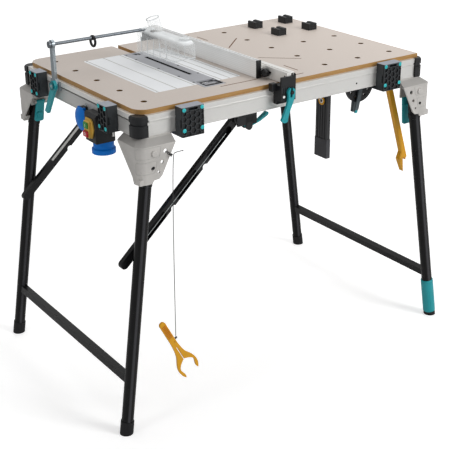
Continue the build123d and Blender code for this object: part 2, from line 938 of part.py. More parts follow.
# Adjustable foot on the front right leg: a gripped sleeve with a rubber pad under it
sleeve_top = leg_length * (pivot_z - sleeve_top_height) / pivot_z
sleeve_end = leg_length * (pivot_z - sleeve_bottom_height) / pivot_z
tube_end = leg_length * (pivot_z - sleeve_tube_height) / pivot_z
with BuildPart() as sleeve:
    with BuildSketch(leg_plane.offset(sleeve_top)):
        Circle(sleeve_radius)
    extrude(amount=sleeve_end - sleeve_top)
    fillet(sleeve.edges().filter_by(GeomType.CIRCLE), leg_wall)
    with BuildSketch(leg_plane.offset(sleeve_top)):
        Circle(leg_radius + running_gap)
    extrude(amount=tube_end - sleeve_top, mode=Mode.SUBTRACT)
    with BuildSketch(leg_plane.offset(sleeve_top + sleeve_ring_height)):
        Circle(sleeve_radius + leg_wall)
        Circle(sleeve_radius - leg_wall / 2, mode=Mode.SUBTRACT)
    extrude(amount=leg_wall, mode=Mode.SUBTRACT)
    with BuildSketch(leg_plane.offset(sleeve_end - sleeve_radius)):
        with PolarLocations(sleeve_radius + leg_wall / 2, sleeve_grip_count):
            Circle(leg_wall)
    extrude(amount=-(sleeve_end - sleeve_top) / 2, mode=Mode.SUBTRACT)
with BuildPart() as levelling_foot:
    mirror(sleeve.part, about=Plane.XZ)
save(levelling_foot, "levelling_foot")
with BuildPart() as pad:
    with BuildSketch(leg_plane.offset(sleeve_end)):
        Circle(cap_radius)
    extrude(amount=2 * cap_radius)
    split(bisect_by=Plane.XY, keep=Keep.TOP)
with BuildPart() as levelling_pad:
    mirror(pad.part, about=Plane.XZ)
save(levelling_pad, "levelling_pad")

# Braces of the left legs: a channel from the leg up to the slider under the rail
stud_point = pivot_point + leg_path.normalized() * brace_leg_distance
low_x, low_z = -stud_point.X, stud_point.Z
top_x = low_x + math.sqrt(brace_length**2 - (brace_top_z - low_z) ** 2)
brace_angle = math.degrees(math.atan2(brace_top_z - low_z, top_x - low_x))
print("brace from", round(low_x, 3), round(low_z, 3), "to", round(top_x, 3), brace_top_z)
print("brace angle", round(brace_angle, 4), "leg length", round(leg_length, 3))
along_brace = Vector(math.cos(math.radians(brace_angle)), 0, math.sin(math.radians(brace_angle)))
brace_plane = Plane(
    origin=(low_x, -brace_inner_y, low_z), x_dir=along_brace, z_dir=(0, -1, 0)
)
brace_depth = brace_outer_y - brace_inner_y
notch_shares = (0.35, 0.66)
hollow_shares = ((0.06, 0.3), (0.4, 0.61), (0.71, 0.94))
with BuildPart() as brace_front:
    with BuildSketch(brace_plane) as side:
        with Locations(((brace_length - brace_tip) / 2, 0)):
            SlotOverall(brace_length + brace_tip + 2 * brace_half_height, 2 * brace_half_height)
        for share in notch_shares:
            with Locations((brace_length * share, -brace_half_height - brace_notch_radius / 3)):
                Circle(brace_notch_radius, mode=Mode.SUBTRACT)
    extrude(amount=brace_depth)
    # The channel is hollow between its two flanges, open on its outer side
    with BuildSketch(brace_plane.offset(brace_wall)):
        for start_share, end_share in hollow_shares:
            with Locations((brace_length * (start_share + end_share) / 2, 0)):
                SlotOverall(
                    brace_length * (end_share - start_share),
                    2 * (brace_half_height - brace_wall),
                )
    extrude(amount=brace_depth, mode=Mode.SUBTRACT)
    with BuildSketch(brace_plane):
        with Locations((brace_length, 0)):
            Circle(bolt_radius + running_gap)
    extrude(amount=brace_depth, mode=Mode.SUBTRACT)
save(brace_front, "brace_front")
with BuildPart() as brace_back:
    mirror(brace_front.part, about=Plane.XZ)
save(brace_back, "brace_back")

# Sliders: a clevis round the brace's top end, a ribbed block and a foot in the rail's runner slot
slider_left = top_x - slider_left_overhang
slider_right = slider_left + slider_length + slider_left_overhang
slot_gap = seat_gap
runner_y = rail_inner_y + runner_offset
with BuildPart() as one_slider:
    with BuildSketch(Plane.XZ.offset(slider_inner_y)) as block_side:
        with Locations((top_x, brace_top_z)):
            Circle(slider_left_overhang)
        with Locations(((top_x + slider_right) / 2, (slider_bottom_z + rail_bottom - seat_gap) / 2)):
            Rectangle(slider_right - top_x, rail_bottom - seat_gap - slider_bottom_z)
    extrude(amount=slider_outer_y - slider_inner_y)
    # Slot for the brace's end
    with BuildSketch(Plane.XZ.offset(brace_inner_y - slot_gap)):
        with Locations((top_x, brace_top_z)):
            Circle(brace_half_height + slot_gap + running_gap)
        outline(
            [
                (top_x - 2 * slider_length, brace_top_z + 2 * brace_half_height),
                (top_x, brace_top_z + 2 * brace_half_height),
                (top_x + brace_half_height + slot_gap, brace_top_z),
                (top_x + brace_half_height + slot_gap, slider_bottom_z - brace_half_height),
                (top_x - 2 * slider_length, slider_bottom_z - brace_half_height),
            ]
        )
    extrude(amount=brace_depth + 2 * slot_gap, mode=Mode.SUBTRACT)
    # Pin through the clevis
    rod_between(
        (top_x, -(slider_outer_y + bolt_head_height), brace_top_z),
        (top_x, -slider_inner_y, brace_top_z),
        bolt_radius,
    )
    rod_between(
        (top_x, -(slider_outer_y + bolt_head_height), brace_top_z),
        (top_x, -slider_outer_y, brace_top_z),
        bolt_head_radius - leg_wall,
    )
    # Neck and foot that run in the rail
    neck_half = runner_opening / 2 - slot_gap
    box_between(
        (top_x, -(runner_y + neck_half), rail_bottom - seat_gap),
        (slider_right - slider_left_overhang, -(runner_y - neck_half), rail_bottom + runner_lip + 2 * slot_gap),
    )
    foot_half = runner_width / 2 - slot_gap
    box_between(
        (top_x, -(runner_y + foot_half), rail_bottom + runner_lip + slot_gap),
        (
            slider_right - slider_left_overhang,
            -(runner_y - foot_half),
            rail_bottom + runner_lip + runner_height - slot_gap,
        ),
    )
    # Grip ribs on the outer and lower faces
    with BuildSketch(Plane.XZ.offset(slider_outer_y)):
        with Locations(((top_x + slider_right) / 2 + brace_half_height, slider_bottom_z + 2 * brace_half_height / 2)):
            with GridLocations(slider_knob_pitch, 0, 9, 1):
                Rectangle(slider_knob_pitch / 2, 2 * brace_half_height - brace_wall)
    extrude(amount=-brace_wall / 2, mode=Mode.SUBTRACT)
    # Ears that carry the clamp lever
    lever_hub_x = slider_right - 2 * slider_left_overhang
    lever_hub_z = slider_bottom_z - brace_half_height / 2
    for near, far in (
        (slider_inner_y, brace_inner_y + slot_gap),
        (brace_outer_y - slot_gap, slider_outer_y),
    ):
        with BuildSketch(Plane.XZ.offset(near)):
            with Locations((lever_hub_x, lever_hub_z)):
                Circle(brace_half_height - brace_wall)
            with Locations((lever_hub_x, slider_bottom_z)):
                Rectangle(2 * (brace_half_height - brace_wall), brace_half_height)
        extrude(amount=far - near)
    rod_between(
        (lever_hub_x, -slider_outer_y, lever_hub_z),
        (lever_hub_x, -slider_inner_y, lever_hub_z),
        bolt_radius / 2,
    )
with BuildPart() as brace_sliders:
    add(one_slider.part)
    mirror(one_slider.part, about=Plane.XZ)
save(brace_sliders, "brace_sliders")

# Clamp lever on each slider
slider_lever_inner = brace_inner_y + 2 * slot_gap
slider_lever_outer = brace_outer_y - 2 * slot_gap
with BuildPart() as slider_lever_front:
    with BuildSketch(Plane.XZ.offset(slider_lever_inner)) as lever_side:
        with Locations((lever_hub_x, lever_hub_z)):
            Circle(brace_half_height / 2)
        outline(
            [
                (lever_hub_x, lever_hub_z - brace_half_height / 2),
                (lever_hub_x + slider_lever_reach * 0.6, lever_hub_z + brace_half_height / 2),
                (lever_hub_x + slider_lever_reach, lever_hub_z + 1.6 * brace_half_height),
                (lever_hub_x + slider_lever_reach, lever_hub_z + 2.5 * brace_half_height),
                (lever_hub_x + slider_lever_reach * 0.6, lever_hub_z + brace_half_height),
            ]
        )
    extrude(amount=slider_lever_outer - slider_lever_inner)
    fillet(
        slider_lever_front.edges().filter_by(Axis.Y).sort_by(Axis.X)[-2:], brace_half_height / 4
    )
    with BuildSketch(Plane.XZ.offset(slider_lever_inner)):
        with Locations((lever_hub_x, lever_hub_z)):
            Circle(bolt_radius / 2 + running_gap)
    extrude(amount=slider_lever_outer - slider_lever_inner, mode=Mode.SUBTRACT)
save(slider_lever_front, "slider_lever_front")
with BuildPart() as slider_lever_back:
    mirror(slider_lever_front.part, about=Plane.XZ)
save(slider_lever_back, "slider_lever_back")

# Lock levers of the legs: a broad plate hung from the cheek, with a pin nose towards the leg
lever_top_x = leg_point(lever_hinge_z).X
lock_centre = leg_point(lock_pin_height)
nose_end = lock_centre.Y - leg_radius - seat_gap - running_gap


def build_lock_lever(bottom_z, bottom_width):
    """Lock lever in the back right corner, widening from its hinge down to its lower edge."""
    lever_low_x = leg_point(bottom_z).X
    with BuildPart() as lever:
        with BuildSketch(Plane.XZ.offset(-(lever_hinge_y + lever_thickness / 2))) as plate:
            outline(
                [
                    (lever_top_x - lever_top_width / 2, lever_hinge_z),
                    (lever_top_x + lever_top_width / 2, lever_hinge_z),
                    (lever_low_x + bottom_width / 2, bottom_z),
                    (lever_low_x - bottom_width / 2, bottom_z),
                ]
            )
            fillet(plate.vertices().group_by(Axis.Y)[0], lever_thickness)
        extrude(amount=lever_thickness)
        rod_between(
            (lever_top_x - lever_top_width / 2, lever_hinge_y, lever_hinge_z),
            (lever_top_x + lever_top_width / 2, lever_hinge_y, lever_hinge_z),
            lever_barrel_radius,
        )
        rod_between(
            (lock_centre.X, lever_hinge_y - lever_thickness, lock_pin_height),
            (lock_centre.X, nose_end, lock_pin_height),
            lock_hole_radius - seat_gap,
        )
        rod_between(
            (lock_centre.X, lever_hinge_y - lever_thickness, lock_pin_height),
            (lock_centre.X, lever_hinge_y, lock_pin_height),
            2 * lock_hole_radius,
        )
        rod_between(
            (lever_top_x - lever_top_width, lever_hinge_y, lever_hinge_z),
            (lever_top_x + lever_top_width, lever_hinge_y, lever_hinge_z),
            bolt_radius / 2 + running_gap,
            Mode.SUBTRACT,
        )
    return lever.part


with BuildPart() as lock_back_right:
    add(build_lock_lever(long_lever_bottom_z, long_lever_width))
save(lock_back_right, "lock_lever_back_right")
with BuildPart() as lock_front_right:
    mirror(lock_back_right.part, about=Plane.XZ)
save(lock_front_right, "lock_lever_front_right")
short_lever = build_lock_lever(short_lever_bottom_z, short_lever_width)
with BuildPart() as lock_back_left:
    mirror(short_lever, about=Plane.YZ)
save(lock_back_left, "lock_lever_back_left")
with BuildPart() as lock_front_left:
    mirror(lock_back_left.part, about=Plane.XZ)
save(lock_front_left, "lock_lever_front_left")

# Accessory blocks: a hollow-faced holder on the rail with a flange hooked under it


def accessory_block(width, depth, bottom):
    """Holder whose back lies on the plane Y = 0 and whose honeycombed face looks to -Y."""
    height = block_top - bottom
    hook = rail_bottom - bottom
    cell_step = math.sqrt(3) * comb_radius
    with BuildPart() as block:
        box_between((-width / 2, -depth, 0), (width / 2, 0, height))
        fillet(block.edges().filter_by(Axis.Z).group_by(Axis.Y)[0], block_radius)
        box_between((-width / 2, -depth / 2, 0), (width / 2, block_hook_reach, hook))
        # Honeycomb inside a rim, with a solid boss under each screw
        with BuildSketch(Plane.XZ.offset(depth)):
            with Locations((0, comb_centre_share * height)):
                with HexLocations(comb_radius, round(width / cell_step), round(height / comb_radius / 2)):
                    RegularPolygon(comb_radius - comb_wall / 2, 6, major_radius=False)
                Rectangle(width - 2 * comb_rim, comb_height_share * height, mode=Mode.INTERSECT)
            with Locations(
                [
                    (side * (width / 2 - screw_margin), level - bottom)
                    for side in (-1, 1)
                    for level in (screw_low_z, screw_high_z)
                ]
            ):
                Circle(screw_boss_radius, mode=Mode.SUBTRACT)
        extrude(amount=-comb_depth, mode=Mode.SUBTRACT)
        with BuildSketch(Plane.XZ.offset(depth)):
            with Locations((0, height - 2 * block_radius)):
                SlotOverall(block_slot_share * width, 2 * block_radius)
        extrude(amount=-depth / 2, mode=Mode.SUBTRACT)
        for side in (-1, 1):
            with BuildSketch(Plane.YZ.offset(side * width / 2)):
                with Locations((-depth * side_slot_forward_share, height * side_slot_centre_share)):
                    SlotOverall(height * side_slot_length_share, side_slot_width, rotation=90)
            extrude(amount=-side * block_radius, mode=Mode.SUBTRACT)
    return block.part


front_block = accessory_block(front_block_width, front_block_depth, front_block_bottom)
end_block = accessory_block(end_block_width, end_block_depth, end_block_bottom)
with BuildPart() as accessory_blocks:
    for block_x in (front_block_left_x, front_block_right_x):
        with Locations((block_x, -rail_outer_y, front_block_bottom)):
            add(front_block)
    for block_y in (end_block_front_y, end_block_back_y):
        with Locations((-rail_outer_x, block_y, end_block_bottom)):
            add(end_block, rotation=(0, 0, -90))
save(accessory_blocks, "accessory_blocks")

# Switch box: hangs under the left rail and rises in front of it, with a socket beside it
box_top = rail_bottom
lid_hinge_x = lid_face_x + lid_ear_radius
lid_hinge_z = lid_centre_z + lid_radius - lid_ear_radius
lid_ear_low = lid_centre_y - lid_ear_width / 2
lid_ear_high = lid_centre_y + lid_ear_width / 2
with BuildPart() as switch_box:
    box_between(
        (switch_left_x, switch_front_y, switch_bottom_z), (switch_right_x, switch_back_y, switch_top_z)
    )
    chamfer(
        switch_box.faces().sort_by(Axis.Z)[-1].edges().filter_by(Axis.Y).sort_by(Axis.X)[0],
        2 * switch_radius,
    )
    fillet(switch_box.edges().filter_by(Axis.Z), switch_radius)
    fillet(switch_box.faces().sort_by(Axis.Z)[0].edges(), switch_radius / 2)
    # Socket housing behind the box
    rod_between(
        (lid_face_x, lid_centre_y, lid_centre_z), (switch_right_x, lid_centre_y, lid_centre_z), socket_radius
    )
    box_between(
        (lid_face_x + 2 * switch_radius, switch_back_y - switch_radius, lid_centre_z - socket_radius / 2),
        (switch_right_x, lid_centre_y, box_top),
    )
    # Ear of the lid's hinge
    box_between(
        (lid_hinge_x, lid_ear_low, lid_centre_z),
        (-rail_outer_x - 2 * seat_gap, lid_ear_high, lid_hinge_z + lid_ear_radius),
    )
    rod_between(
        (lid_hinge_x, lid_ear_low, lid_hinge_z), (lid_hinge_x, lid_ear_high, lid_hinge_z), lid_ear_radius
    )
    rod_between(
        (lid_hinge_x, lid_ear_low, lid_hinge_z),
        (lid_hinge_x, lid_ear_high, lid_hinge_z),
        lid_pin_radius + running_gap,
        Mode.SUBTRACT,
    )
    rod_between(
        (lid_face_x, lid_centre_y, lid_centre_z),
        (lid_face_x + socket_hole_depth, lid_centre_y, lid_centre_z),
        socket_hole_radius,
        Mode.SUBTRACT,
    )
    # Step that leaves the rail free
    box_between(
        (-rail_outer_x - seat_gap, -overrun, box_top), (overrun, overrun, overrun), mode=Mode.SUBTRACT
    )
    # Cable window through the front wall and the back wall
    window_x = switch_right_x - 2 * switch_radius
    with BuildSketch(Plane.XZ.offset(-switch_back_y)):
        with Locations((window_x, (switch_bottom_z + box_top) / 2)):
            RectangleRounded(2 * switch_radius, 5 * switch_radius, switch_radius / 2)
    extrude(amount=2 * (switch_back_y - switch_front_y), both=True, mode=Mode.SUBTRACT)
    # Room for the buttons behind the plate
    for button_z in (green_z, red_z):
        box_between(
            (switch_left_x - overrun, button_y - button_width / 2 - seat_gap, button_z - button_height / 2 - seat_gap),
            (
                switch_left_x + button_travel + button_rise,
                button_y + button_width / 2 + seat_gap,
                button_z + button_height / 2 + seat_gap,
            ),
            mode=Mode.SUBTRACT,
        )
save(switch_box, "switch_box")

# Switch plate: a base with cut corners and a raised frame round the two buttons
with BuildPart() as switch_plate:
    with BuildSketch(Plane.YZ.offset(switch_left_x)):
        outline(
            [
                (plate_front_y + plate_cut / 2, plate_top_z - plate_cut / 2),
                (plate_front_y + plate_cut, plate_top_z),
                (plate_back_y, plate_top_z),
                (plate_back_y, plate_bottom_z),
                (plate_front_y + plate_cut, plate_bottom_z),
                (plate_front_y, (plate_top_z + plate_bottom_z) / 2),
            ]
        )
    extrude(amount=-plate_thickness)
    fillet(switch_plate.edges().filter_by(Axis.X), switch_radius / 2)
    box_between(
        (
            switch_left_x - plate_thickness - plate_rise,
            button_y - button_width / 2 - frame_wall,
            red_z - button_height / 2 - frame_wall,
        ),
        (
            switch_left_x - plate_thickness,
            button_y + button_width / 2 + frame_wall,
            green_z + button_height / 2 + frame_wall,
        ),
    )
    fillet(
        switch_plate.faces().sort_by(Axis.X)[0].edges(), frame_wall / 2
    )
    for button_z in (green_z, red_z):
        box_between(
            (
                switch_left_x - overrun,
                button_y - button_width / 2 - seat_gap,
                button_z - button_height / 2 - seat_gap,
            ),
            (
                switch_left_x + frame_wall,
                button_y + button_width / 2 + seat_gap,
                button_z + button_height / 2 + seat_gap,
            ),
            mode=Mode.SUBTRACT,
        )
save(switch_plate, "switch_plate")

# Push buttons: caps with a stem behind them, free to travel in the plate
button_front_x = switch_left_x - plate_thickness - plate_rise - button_rise
for button_name, button_z, extra in (("green_button", green_z, 0), ("red_button", red_z, red_button_extra)):
    with BuildPart() as button:
        box_between(
            (button_front_x - extra, button_y - button_width / 2, button_z - button_height / 2),
            (
                switch_left_x + button_rise,
                button_y + button_width / 2,
                button_z + button_height / 2,
            ),
        )
        fillet(button.edges().filter_by(Axis.X), switch_radius / 2)
        fillet(button.faces().sort_by(Axis.X)[0].edges(), switch_radius / 3)
    save(button, button_name)

# Domed socket lid, hung on two lugs beside the ear of the housing
dome_radius = (lid_radius**2 + lid_dome**2) / (2 * lid_dome)
with BuildPart() as socket_lid:
    with Locations((lid_face_x - switch_radius - lid_dome + dome_radius, lid_centre_y, lid_centre_z)):
        Sphere(dome_radius)
    rod_between(
        (lid_face_x - seat_gap - overrun, lid_centre_y, lid_centre_z),
        (lid_face_x - seat_gap, lid_centre_y, lid_centre_z),
        lid_radius,
        Mode.INTERSECT,
    )
    for near_y, far_y in (
        (lid_ear_low - seat_gap - lid_lug_width, lid_ear_low - seat_gap),
        (lid_ear_high + seat_gap, lid_ear_high + seat_gap + lid_lug_width),
    ):
        rod_between((lid_hinge_x, near_y, lid_hinge_z), (lid_hinge_x, far_y, lid_hinge_z), lid_ear_radius)
        box_between(
            (lid_face_x - switch_radius, near_y, lid_hinge_z - lid_ear_radius),
            (lid_hinge_x, far_y, lid_hinge_z + lid_ear_radius),
        )
    rod_between(
        (lid_hinge_x, lid_ear_low - seat_gap, lid_hinge_z),
        (lid_hinge_x, lid_ear_high + seat_gap, lid_hinge_z),
        lid_pin_radius,
    )
save(socket_lid, "socket_lid")

# Power inlet under the box: a round body with a flared rim, open downwards, and its lid flap
with BuildPart() as power_inlet:
    with BuildSketch(Plane.XZ.offset(-inlet_y)) as inlet_section:
        outline(
            [
                (inlet_x, switch_bottom_z),
                (inlet_x + inlet_radius, switch_bottom_z),
                (inlet_x + inlet_radius, switch_bottom_z - inlet_length + inlet_rim_height + switch_radius),
                (inlet_x + inlet_rim_radius, switch_bottom_z - inlet_length + inlet_rim_height),
                (inlet_x + inlet_rim_radius, switch_bottom_z - inlet_length),
                (inlet_x + inlet_radius - switch_wall, switch_bottom_z - inlet_length),
                (inlet_x + inlet_radius - switch_wall, switch_bottom_z - inlet_rim_height),
                (inlet_x, switch_bottom_z - inlet_rim_height),
            ]
        )
    revolve(axis=Axis((inlet_x, inlet_y, 0), (0, 0, 1)))
    for turn in (0, 120, 240):
        angle = math.radians(turn)
        pin_x = inlet_x + inlet_radius / 3 * math.cos(angle)
        pin_y = inlet_y + inlet_radius / 3 * math.sin(angle)
        rod_between(
            (pin_x, pin_y, switch_bottom_z - inlet_length + switch_wall),
            (pin_x, pin_y, switch_bottom_z - inlet_rim_height + switch_wall),
            bolt_radius / 2,
        )
save(power_inlet, "power_inlet")

# Mitre bar stored upright: a ribbed bar with a sleeve on its lower end and a hook on the rail
with BuildPart() as mitre_bar:
    box_between(
        (bar_x - bar_thickness / 2, bar_front_y + bar_sleeve_wall, bar_sleeve_z),
        (bar_x + bar_thickness / 2, bar_back_y - bar_sleeve_wall, hook_high),
    )
    with BuildSketch(Plane.YZ.offset(bar_x - bar_thickness / 2)):
        with Locations(((bar_front_y + bar_back_y) / 2, (bar_sleeve_z + rail_bottom) / 2)):
            with GridLocations(bar_rib_pitch, 0, 4, 1):
                Rectangle(bar_rib_width, rail_bottom - bar_sleeve_z)
    extrude(amount=bar_rib_depth, mode=Mode.SUBTRACT)
    box_between(
        (bar_x - bar_thickness / 2 - bar_sleeve_wall, bar_front_y, bar_bottom_z),
        (bar_x + bar_thickness / 2 + bar_sleeve_wall, bar_back_y, bar_sleeve_z),
    )
    fillet(mitre_bar.edges().filter_by(Axis.Z).group_by(SortBy.LENGTH)[0], bar_sleeve_wall)
    box_between(
        (bar_x - bar_thickness / 2, -rail_inner_y, hook_low),
        (bar_x + bar_thickness / 2, bar_front_y + 2 * bar_sleeve_wall, hook_high),
    )
    rod_between(
        (bar_x - bar_thickness, (bar_front_y + bar_back_y) / 2, pivot_z),
        (bar_x + bar_thickness, (bar_front_y + bar_back_y) / 2, pivot_z),
        bolt_head_radius,
        Mode.SUBTRACT,
    )
save(mitre_bar, "mitre_bar")

# Protractor head stored flat behind the rail: a round plate cut flat at its upper side
stored_back = -stored_y - disc_thickness / 2
with BuildPart() as protractor:
    with BuildSketch(Plane.XZ.offset(stored_back)) as disc:
        with Locations((disc_x, disc_z)):
            Circle(disc_radius)
        with Locations((disc_x, disc_z + disc_radius)):
            Rectangle(2 * disc_radius, disc_radius, mode=Mode.SUBTRACT)
        with Locations((disc_x, disc_z)):
            with PolarLocations(disc_radius * 0.72, 5, start_angle=-150, angular_range=120, endpoint=True):
                Circle(disc_radius * 0.09, mode=Mode.SUBTRACT)
    extrude(amount=disc_thickness)
    with BuildSketch(Plane.XZ.offset(stored_back + disc_thickness)):
        with Locations((disc_x, disc_z)):
            Circle(disc_radius * 0.42)
    extrude(amount=disc_thickness / 2)
    box_between(
        (disc_x - disc_radius / 2, -rail_inner_y, hook_low),
        (disc_x + disc_radius / 2, -stored_back, hook_low + bar_thickness / 2),
    )
    rod_between(
        (disc_x, -stored_back - 2 * disc_thickness, disc_z), (disc_x, -stored_back + disc_thickness * 2, disc_z),
        bolt_radius, Mode.SUBTRACT,
    )
save(protractor, "protractor")

# Clamp lever of the protractor, turning on its bolt
lever_y = stored_back - seat_gap
with BuildPart() as protractor_lever:
    with BuildSketch(Plane.XZ.offset(lever_y - disc_thickness)) as lever_side:
        with Locations((disc_x, disc_z)):
            Circle(bar_thickness)
        outline(
            [
                (disc_x - bar_thickness, disc_z),
                (disc_x - bar_thickness * 1.5, disc_z - disc_lever_reach),
                (disc_x - bar_thickness / 2, disc_z - disc_lever_reach - bar_thickness / 3),
                (disc_x + bar_thickness, disc_z),
            ]
        )
        fillet(lever_side.vertices().group_by(Axis.Y)[0], bar_sleeve_wall)
    extrude(amount=disc_thickness)
    rod_between(
        (disc_x, -lever_y, disc_z),
        (disc_x, -lever_y - disc_thickness * 1.6, disc_z),
        bolt_radius - running_gap,
    )
save(protractor_lever, "protractor_lever")

# Push stick: a slanted bar with a rounded heel, a notch and a long toe, clipped to the rail
stick_front = -stored_y
stick_run = Vector(math.sin(math.radians(stick_slant)), 0, -math.cos(math.radians(stick_slant)))
stick_plane = Plane(
    origin=(stick_top_x, stored_y, stick_top_z), x_dir=stick_run, z_dir=(0, -1, 0)
)
with BuildPart() as push_stick:
    with BuildSketch(stick_plane) as stick:
        with BuildLine():
            Polyline(
                (0, stick_width / 2),
                (stick_length - stick_heel_radius, stick_width / 2 + stick_spread),
            )
            RadiusArc(
                (stick_length - stick_heel_radius, stick_width / 2 + stick_spread),
                (stick_length, stick_notch_offset),
                -stick_heel_radius,
            )
            Polyline(
                (stick_length, stick_notch_offset),
                (stick_length - stick_notch_depth, -stick_width / 6),
                (stick_length - stick_notch_depth / 2, -stick_width / 2),
                (stick_length + stick_toe_length, -stick_width),
                (stick_length + stick_toe_length, -stick_width - stick_spread),
                (stick_length - stick_notch_depth, -stick_toe_offset),
                (stick_length - 2.2 * stick_notch_depth, -stick_width / 2),
                (0, -stick_width / 2),
                (0, stick_width / 2),
            )
        make_face()
    extrude(amount=-stick_thickness)
    long_edges = [edge for edge in push_stick.edges() if edge.length > stick_length / 2]
    fillet(long_edges, stick_edge_radius)
    # Clip on the inner face of the rail
    box_between(
        (stick_top_x - stick_width * 0.7, -rail_inner_y, hook_low),
        (stick_top_x + stick_width * 0.9, stored_y + stick_edge_radius, hook_high - stick_edge_radius),
    )
save(push_stick, "push_stick")

# Guard upright: a flat bar on the left rail with a clamp hub at its foot
with BuildPart() as guard_upright:
    with BuildSketch(Plane.YZ.offset(guard_upright_x - upright_thickness / 2)) as upright_side:
        with Locations((guard_upright_y, (hub_z + arm_z) / 2)):
            Rectangle(upright_width * 0.7, arm_z - hub_z)
        with Locations((guard_upright_y, arm_z)):
            Circle(upright_width / 2)
        with Locations((guard_upright_y, hub_z)):
            Circle(upright_width * 0.8)
        with Locations((guard_upright_y, arm_z)):
            Circle(arm_radius + running_gap, mode=Mode.SUBTRACT)
    extrude(amount=upright_thickness)
    box_between(
        (guard_upright_x, guard_upright_y - upright_width, rail_bottom + t_slot_height - t_slot_inside),
        (-rail_outer_x, guard_upright_y + upright_width, board_bottom),
    )
    box_between(
        (-rail_outer_x, guard_upright_y - upright_width, rail_bottom + t_slot_height - t_slot_width / 2 + seat_gap),
        (-rail_outer_x + t_slot_depth / 2, guard_upright_y + upright_width, rail_bottom + t_slot_height + t_slot_width / 2 - seat_gap),
    )
save(guard_upright, "guard_upright")

# Clamp lever of the upright: a hub with a long arm
hub_face_x = guard_upright_x - upright_thickness / 2 - seat_gap
with BuildPart() as guard_lever:
    with BuildSketch(Plane.YZ.offset(hub_face_x)) as lever_side:
        with Locations((guard_upright_y - upright_width * 0.4, hub_z)):
            Circle(hub_radius)
        outline(
            [
                (guard_upright_y - upright_width * 0.8, hub_z - hub_radius / 2),
                (lever_tip_y - hub_radius * 0.7, lever_tip_z),
                (lever_tip_y + hub_radius * 0.5, lever_tip_z + hub_radius / 3),
                (guard_upright_y, hub_z),
            ]
        )
        fillet(lever_side.vertices().group_by(Axis.Y)[0], hub_radius / 4)
    extrude(amount=-upright_thickness)
    with BuildSketch(Plane.YZ.offset(hub_face_x - upright_thickness)):
        with Locations((guard_upright_y - upright_width * 0.4, hub_z)):
            Circle(hub_radius * 0.6)
    extrude(amount=-upright_thickness / 2)
save(guard_lever, "guard_lever")

# Guard arm with an eye on its left end
with BuildPart() as guard_arm:
    rod_between((arm_left_x, guard_upright_y, arm_z), (arm_right_x, guard_upright_y, arm_z), arm_radius)
    rod_between(
        (guard_upright_x - upright_thickness / 2 - bolt_head_height, guard_upright_y, arm_z),
        (arm_left_x, guard_upright_y, arm_z),
        arm_radius,
    )
    rod_between(
        (guard_upright_x - upright_thickness / 2 - 2 * bolt_head_height, guard_upright_y, arm_z),
        (guard_upright_x - upright_thickness / 2 - seat_gap, guard_upright_y, arm_z),
        2 * arm_radius,
    )
save(guard_arm, "guard_arm")

# Cable ring on the arm: a collar with a thick ring hanging below it
with BuildPart() as cable_ring:
    rod_between(
        (ring_x - ring_collar_length / 2, guard_upright_y, arm_z),
        (ring_x + ring_collar_length / 2, guard_upright_y, arm_z),
        arm_radius + ring_collar,
    )
    with Locations(Plane(origin=(ring_x, guard_upright_y, arm_z - ring_drop), z_dir=(1, 0, 0))):
        Torus(ring_radius, ring_wire)
    rod_between(
        (ring_x - upright_width, guard_upright_y, arm_z),
        (ring_x + upright_width, guard_upright_y, arm_z),
        arm_radius + running_gap,
        Mode.SUBTRACT,
    )
save(cable_ring, "cable_ring")

# Guard hood: a clear shell with a rounded nose, a boss on top, side ribs and a dust spout
hood_centre_x = (hood_left + hood_right) / 2
hood_half = (hood_right - hood_left) / 2
spout_base = Vector(hood_centre_x, spout_base_y, spout_base_z)
spout_tip = Vector(hood_centre_x, spout_tip_y, spout_tip_z)


def hood_solid(inset, bottom):
    """Rounded block of the hood, drawn in by an inset on its sides and top."""
    with BuildPart() as solid:
        with BuildSketch(Plane.XY.offset(bottom)):
            with Locations((hood_centre_x, (hood_back + hood_front + hood_half) / 2)):
                Rectangle(
                    2 * (hood_half - inset), hood_back - hood_front - hood_half - 2 * inset
                )
            with Locations((hood_centre_x, hood_front + hood_half)):
                Circle(hood_half - inset)
            with Locations((hood_centre_x, hood_front + hood_half + inset)):
                Rectangle(2 * (hood_half - inset), 2 * inset)
        extrude(amount=hood_top - inset - bottom)
        fillet(solid.faces().sort_by(Axis.Z)[-1].edges(), hood_edge_radius - inset)
    return solid.part


with BuildPart() as guard_hood:
    add(hood_solid(0, hood_bottom))
    rod_between(spout_base, spout_tip, spout_radius)
    rod_between(
        (hood_centre_x, hood_front + hood_half, hood_top - hood_wall),
        (hood_centre_x, hood_front + hood_half, hood_top + 2 * hood_wall),
        hood_half / 2,
    )
    for rib_share in hood_rib_shares:
        rib_y = hood_back + (hood_front - hood_back) * rib_share
        box_between(
            (hood_left - hood_wall / 2, rib_y, hood_bottom),
            (hood_right + hood_wall / 2, rib_y + hood_wall, hood_top - hood_edge_radius),
        )
    add(hood_solid(hood_wall, hood_bottom - hood_wall), mode=Mode.SUBTRACT)
    rod_between(
        spout_base, spout_tip + (spout_tip - spout_base), spout_radius - spout_wall, Mode.SUBTRACT
    )
    # The lower edge climbs towards the nose
    with BuildSketch(Plane.YZ.offset(-overrun)):
        outline(
            [
                (hood_back, hood_bottom - hood_wall * 2),
                (hood_back, hood_bottom),
                (hood_rise_y, hood_rise_z),
                (hood_front, hood_nose_z),
                (hood_front - hood_half, hood_nose_z),
                (hood_front - hood_half, hood_bottom - hood_wall * 2),
            ]
        )
    extrude(amount=2 * overrun, mode=Mode.SUBTRACT)
    # Hub that turns on the end of the arm
    rod_between(
        (hood_left, guard_upright_y, arm_z), (hood_left + hood_hub_length, guard_upright_y, arm_z), hood_hub_radius
    )
    rod_between(
        (hood_left - hood_half, guard_upright_y, arm_z),
        (arm_right_x + seat_gap, guard_upright_y, arm_z),
        arm_radius + running_gap,
        Mode.SUBTRACT,
    )
save(guard_hood, "guard_hood")

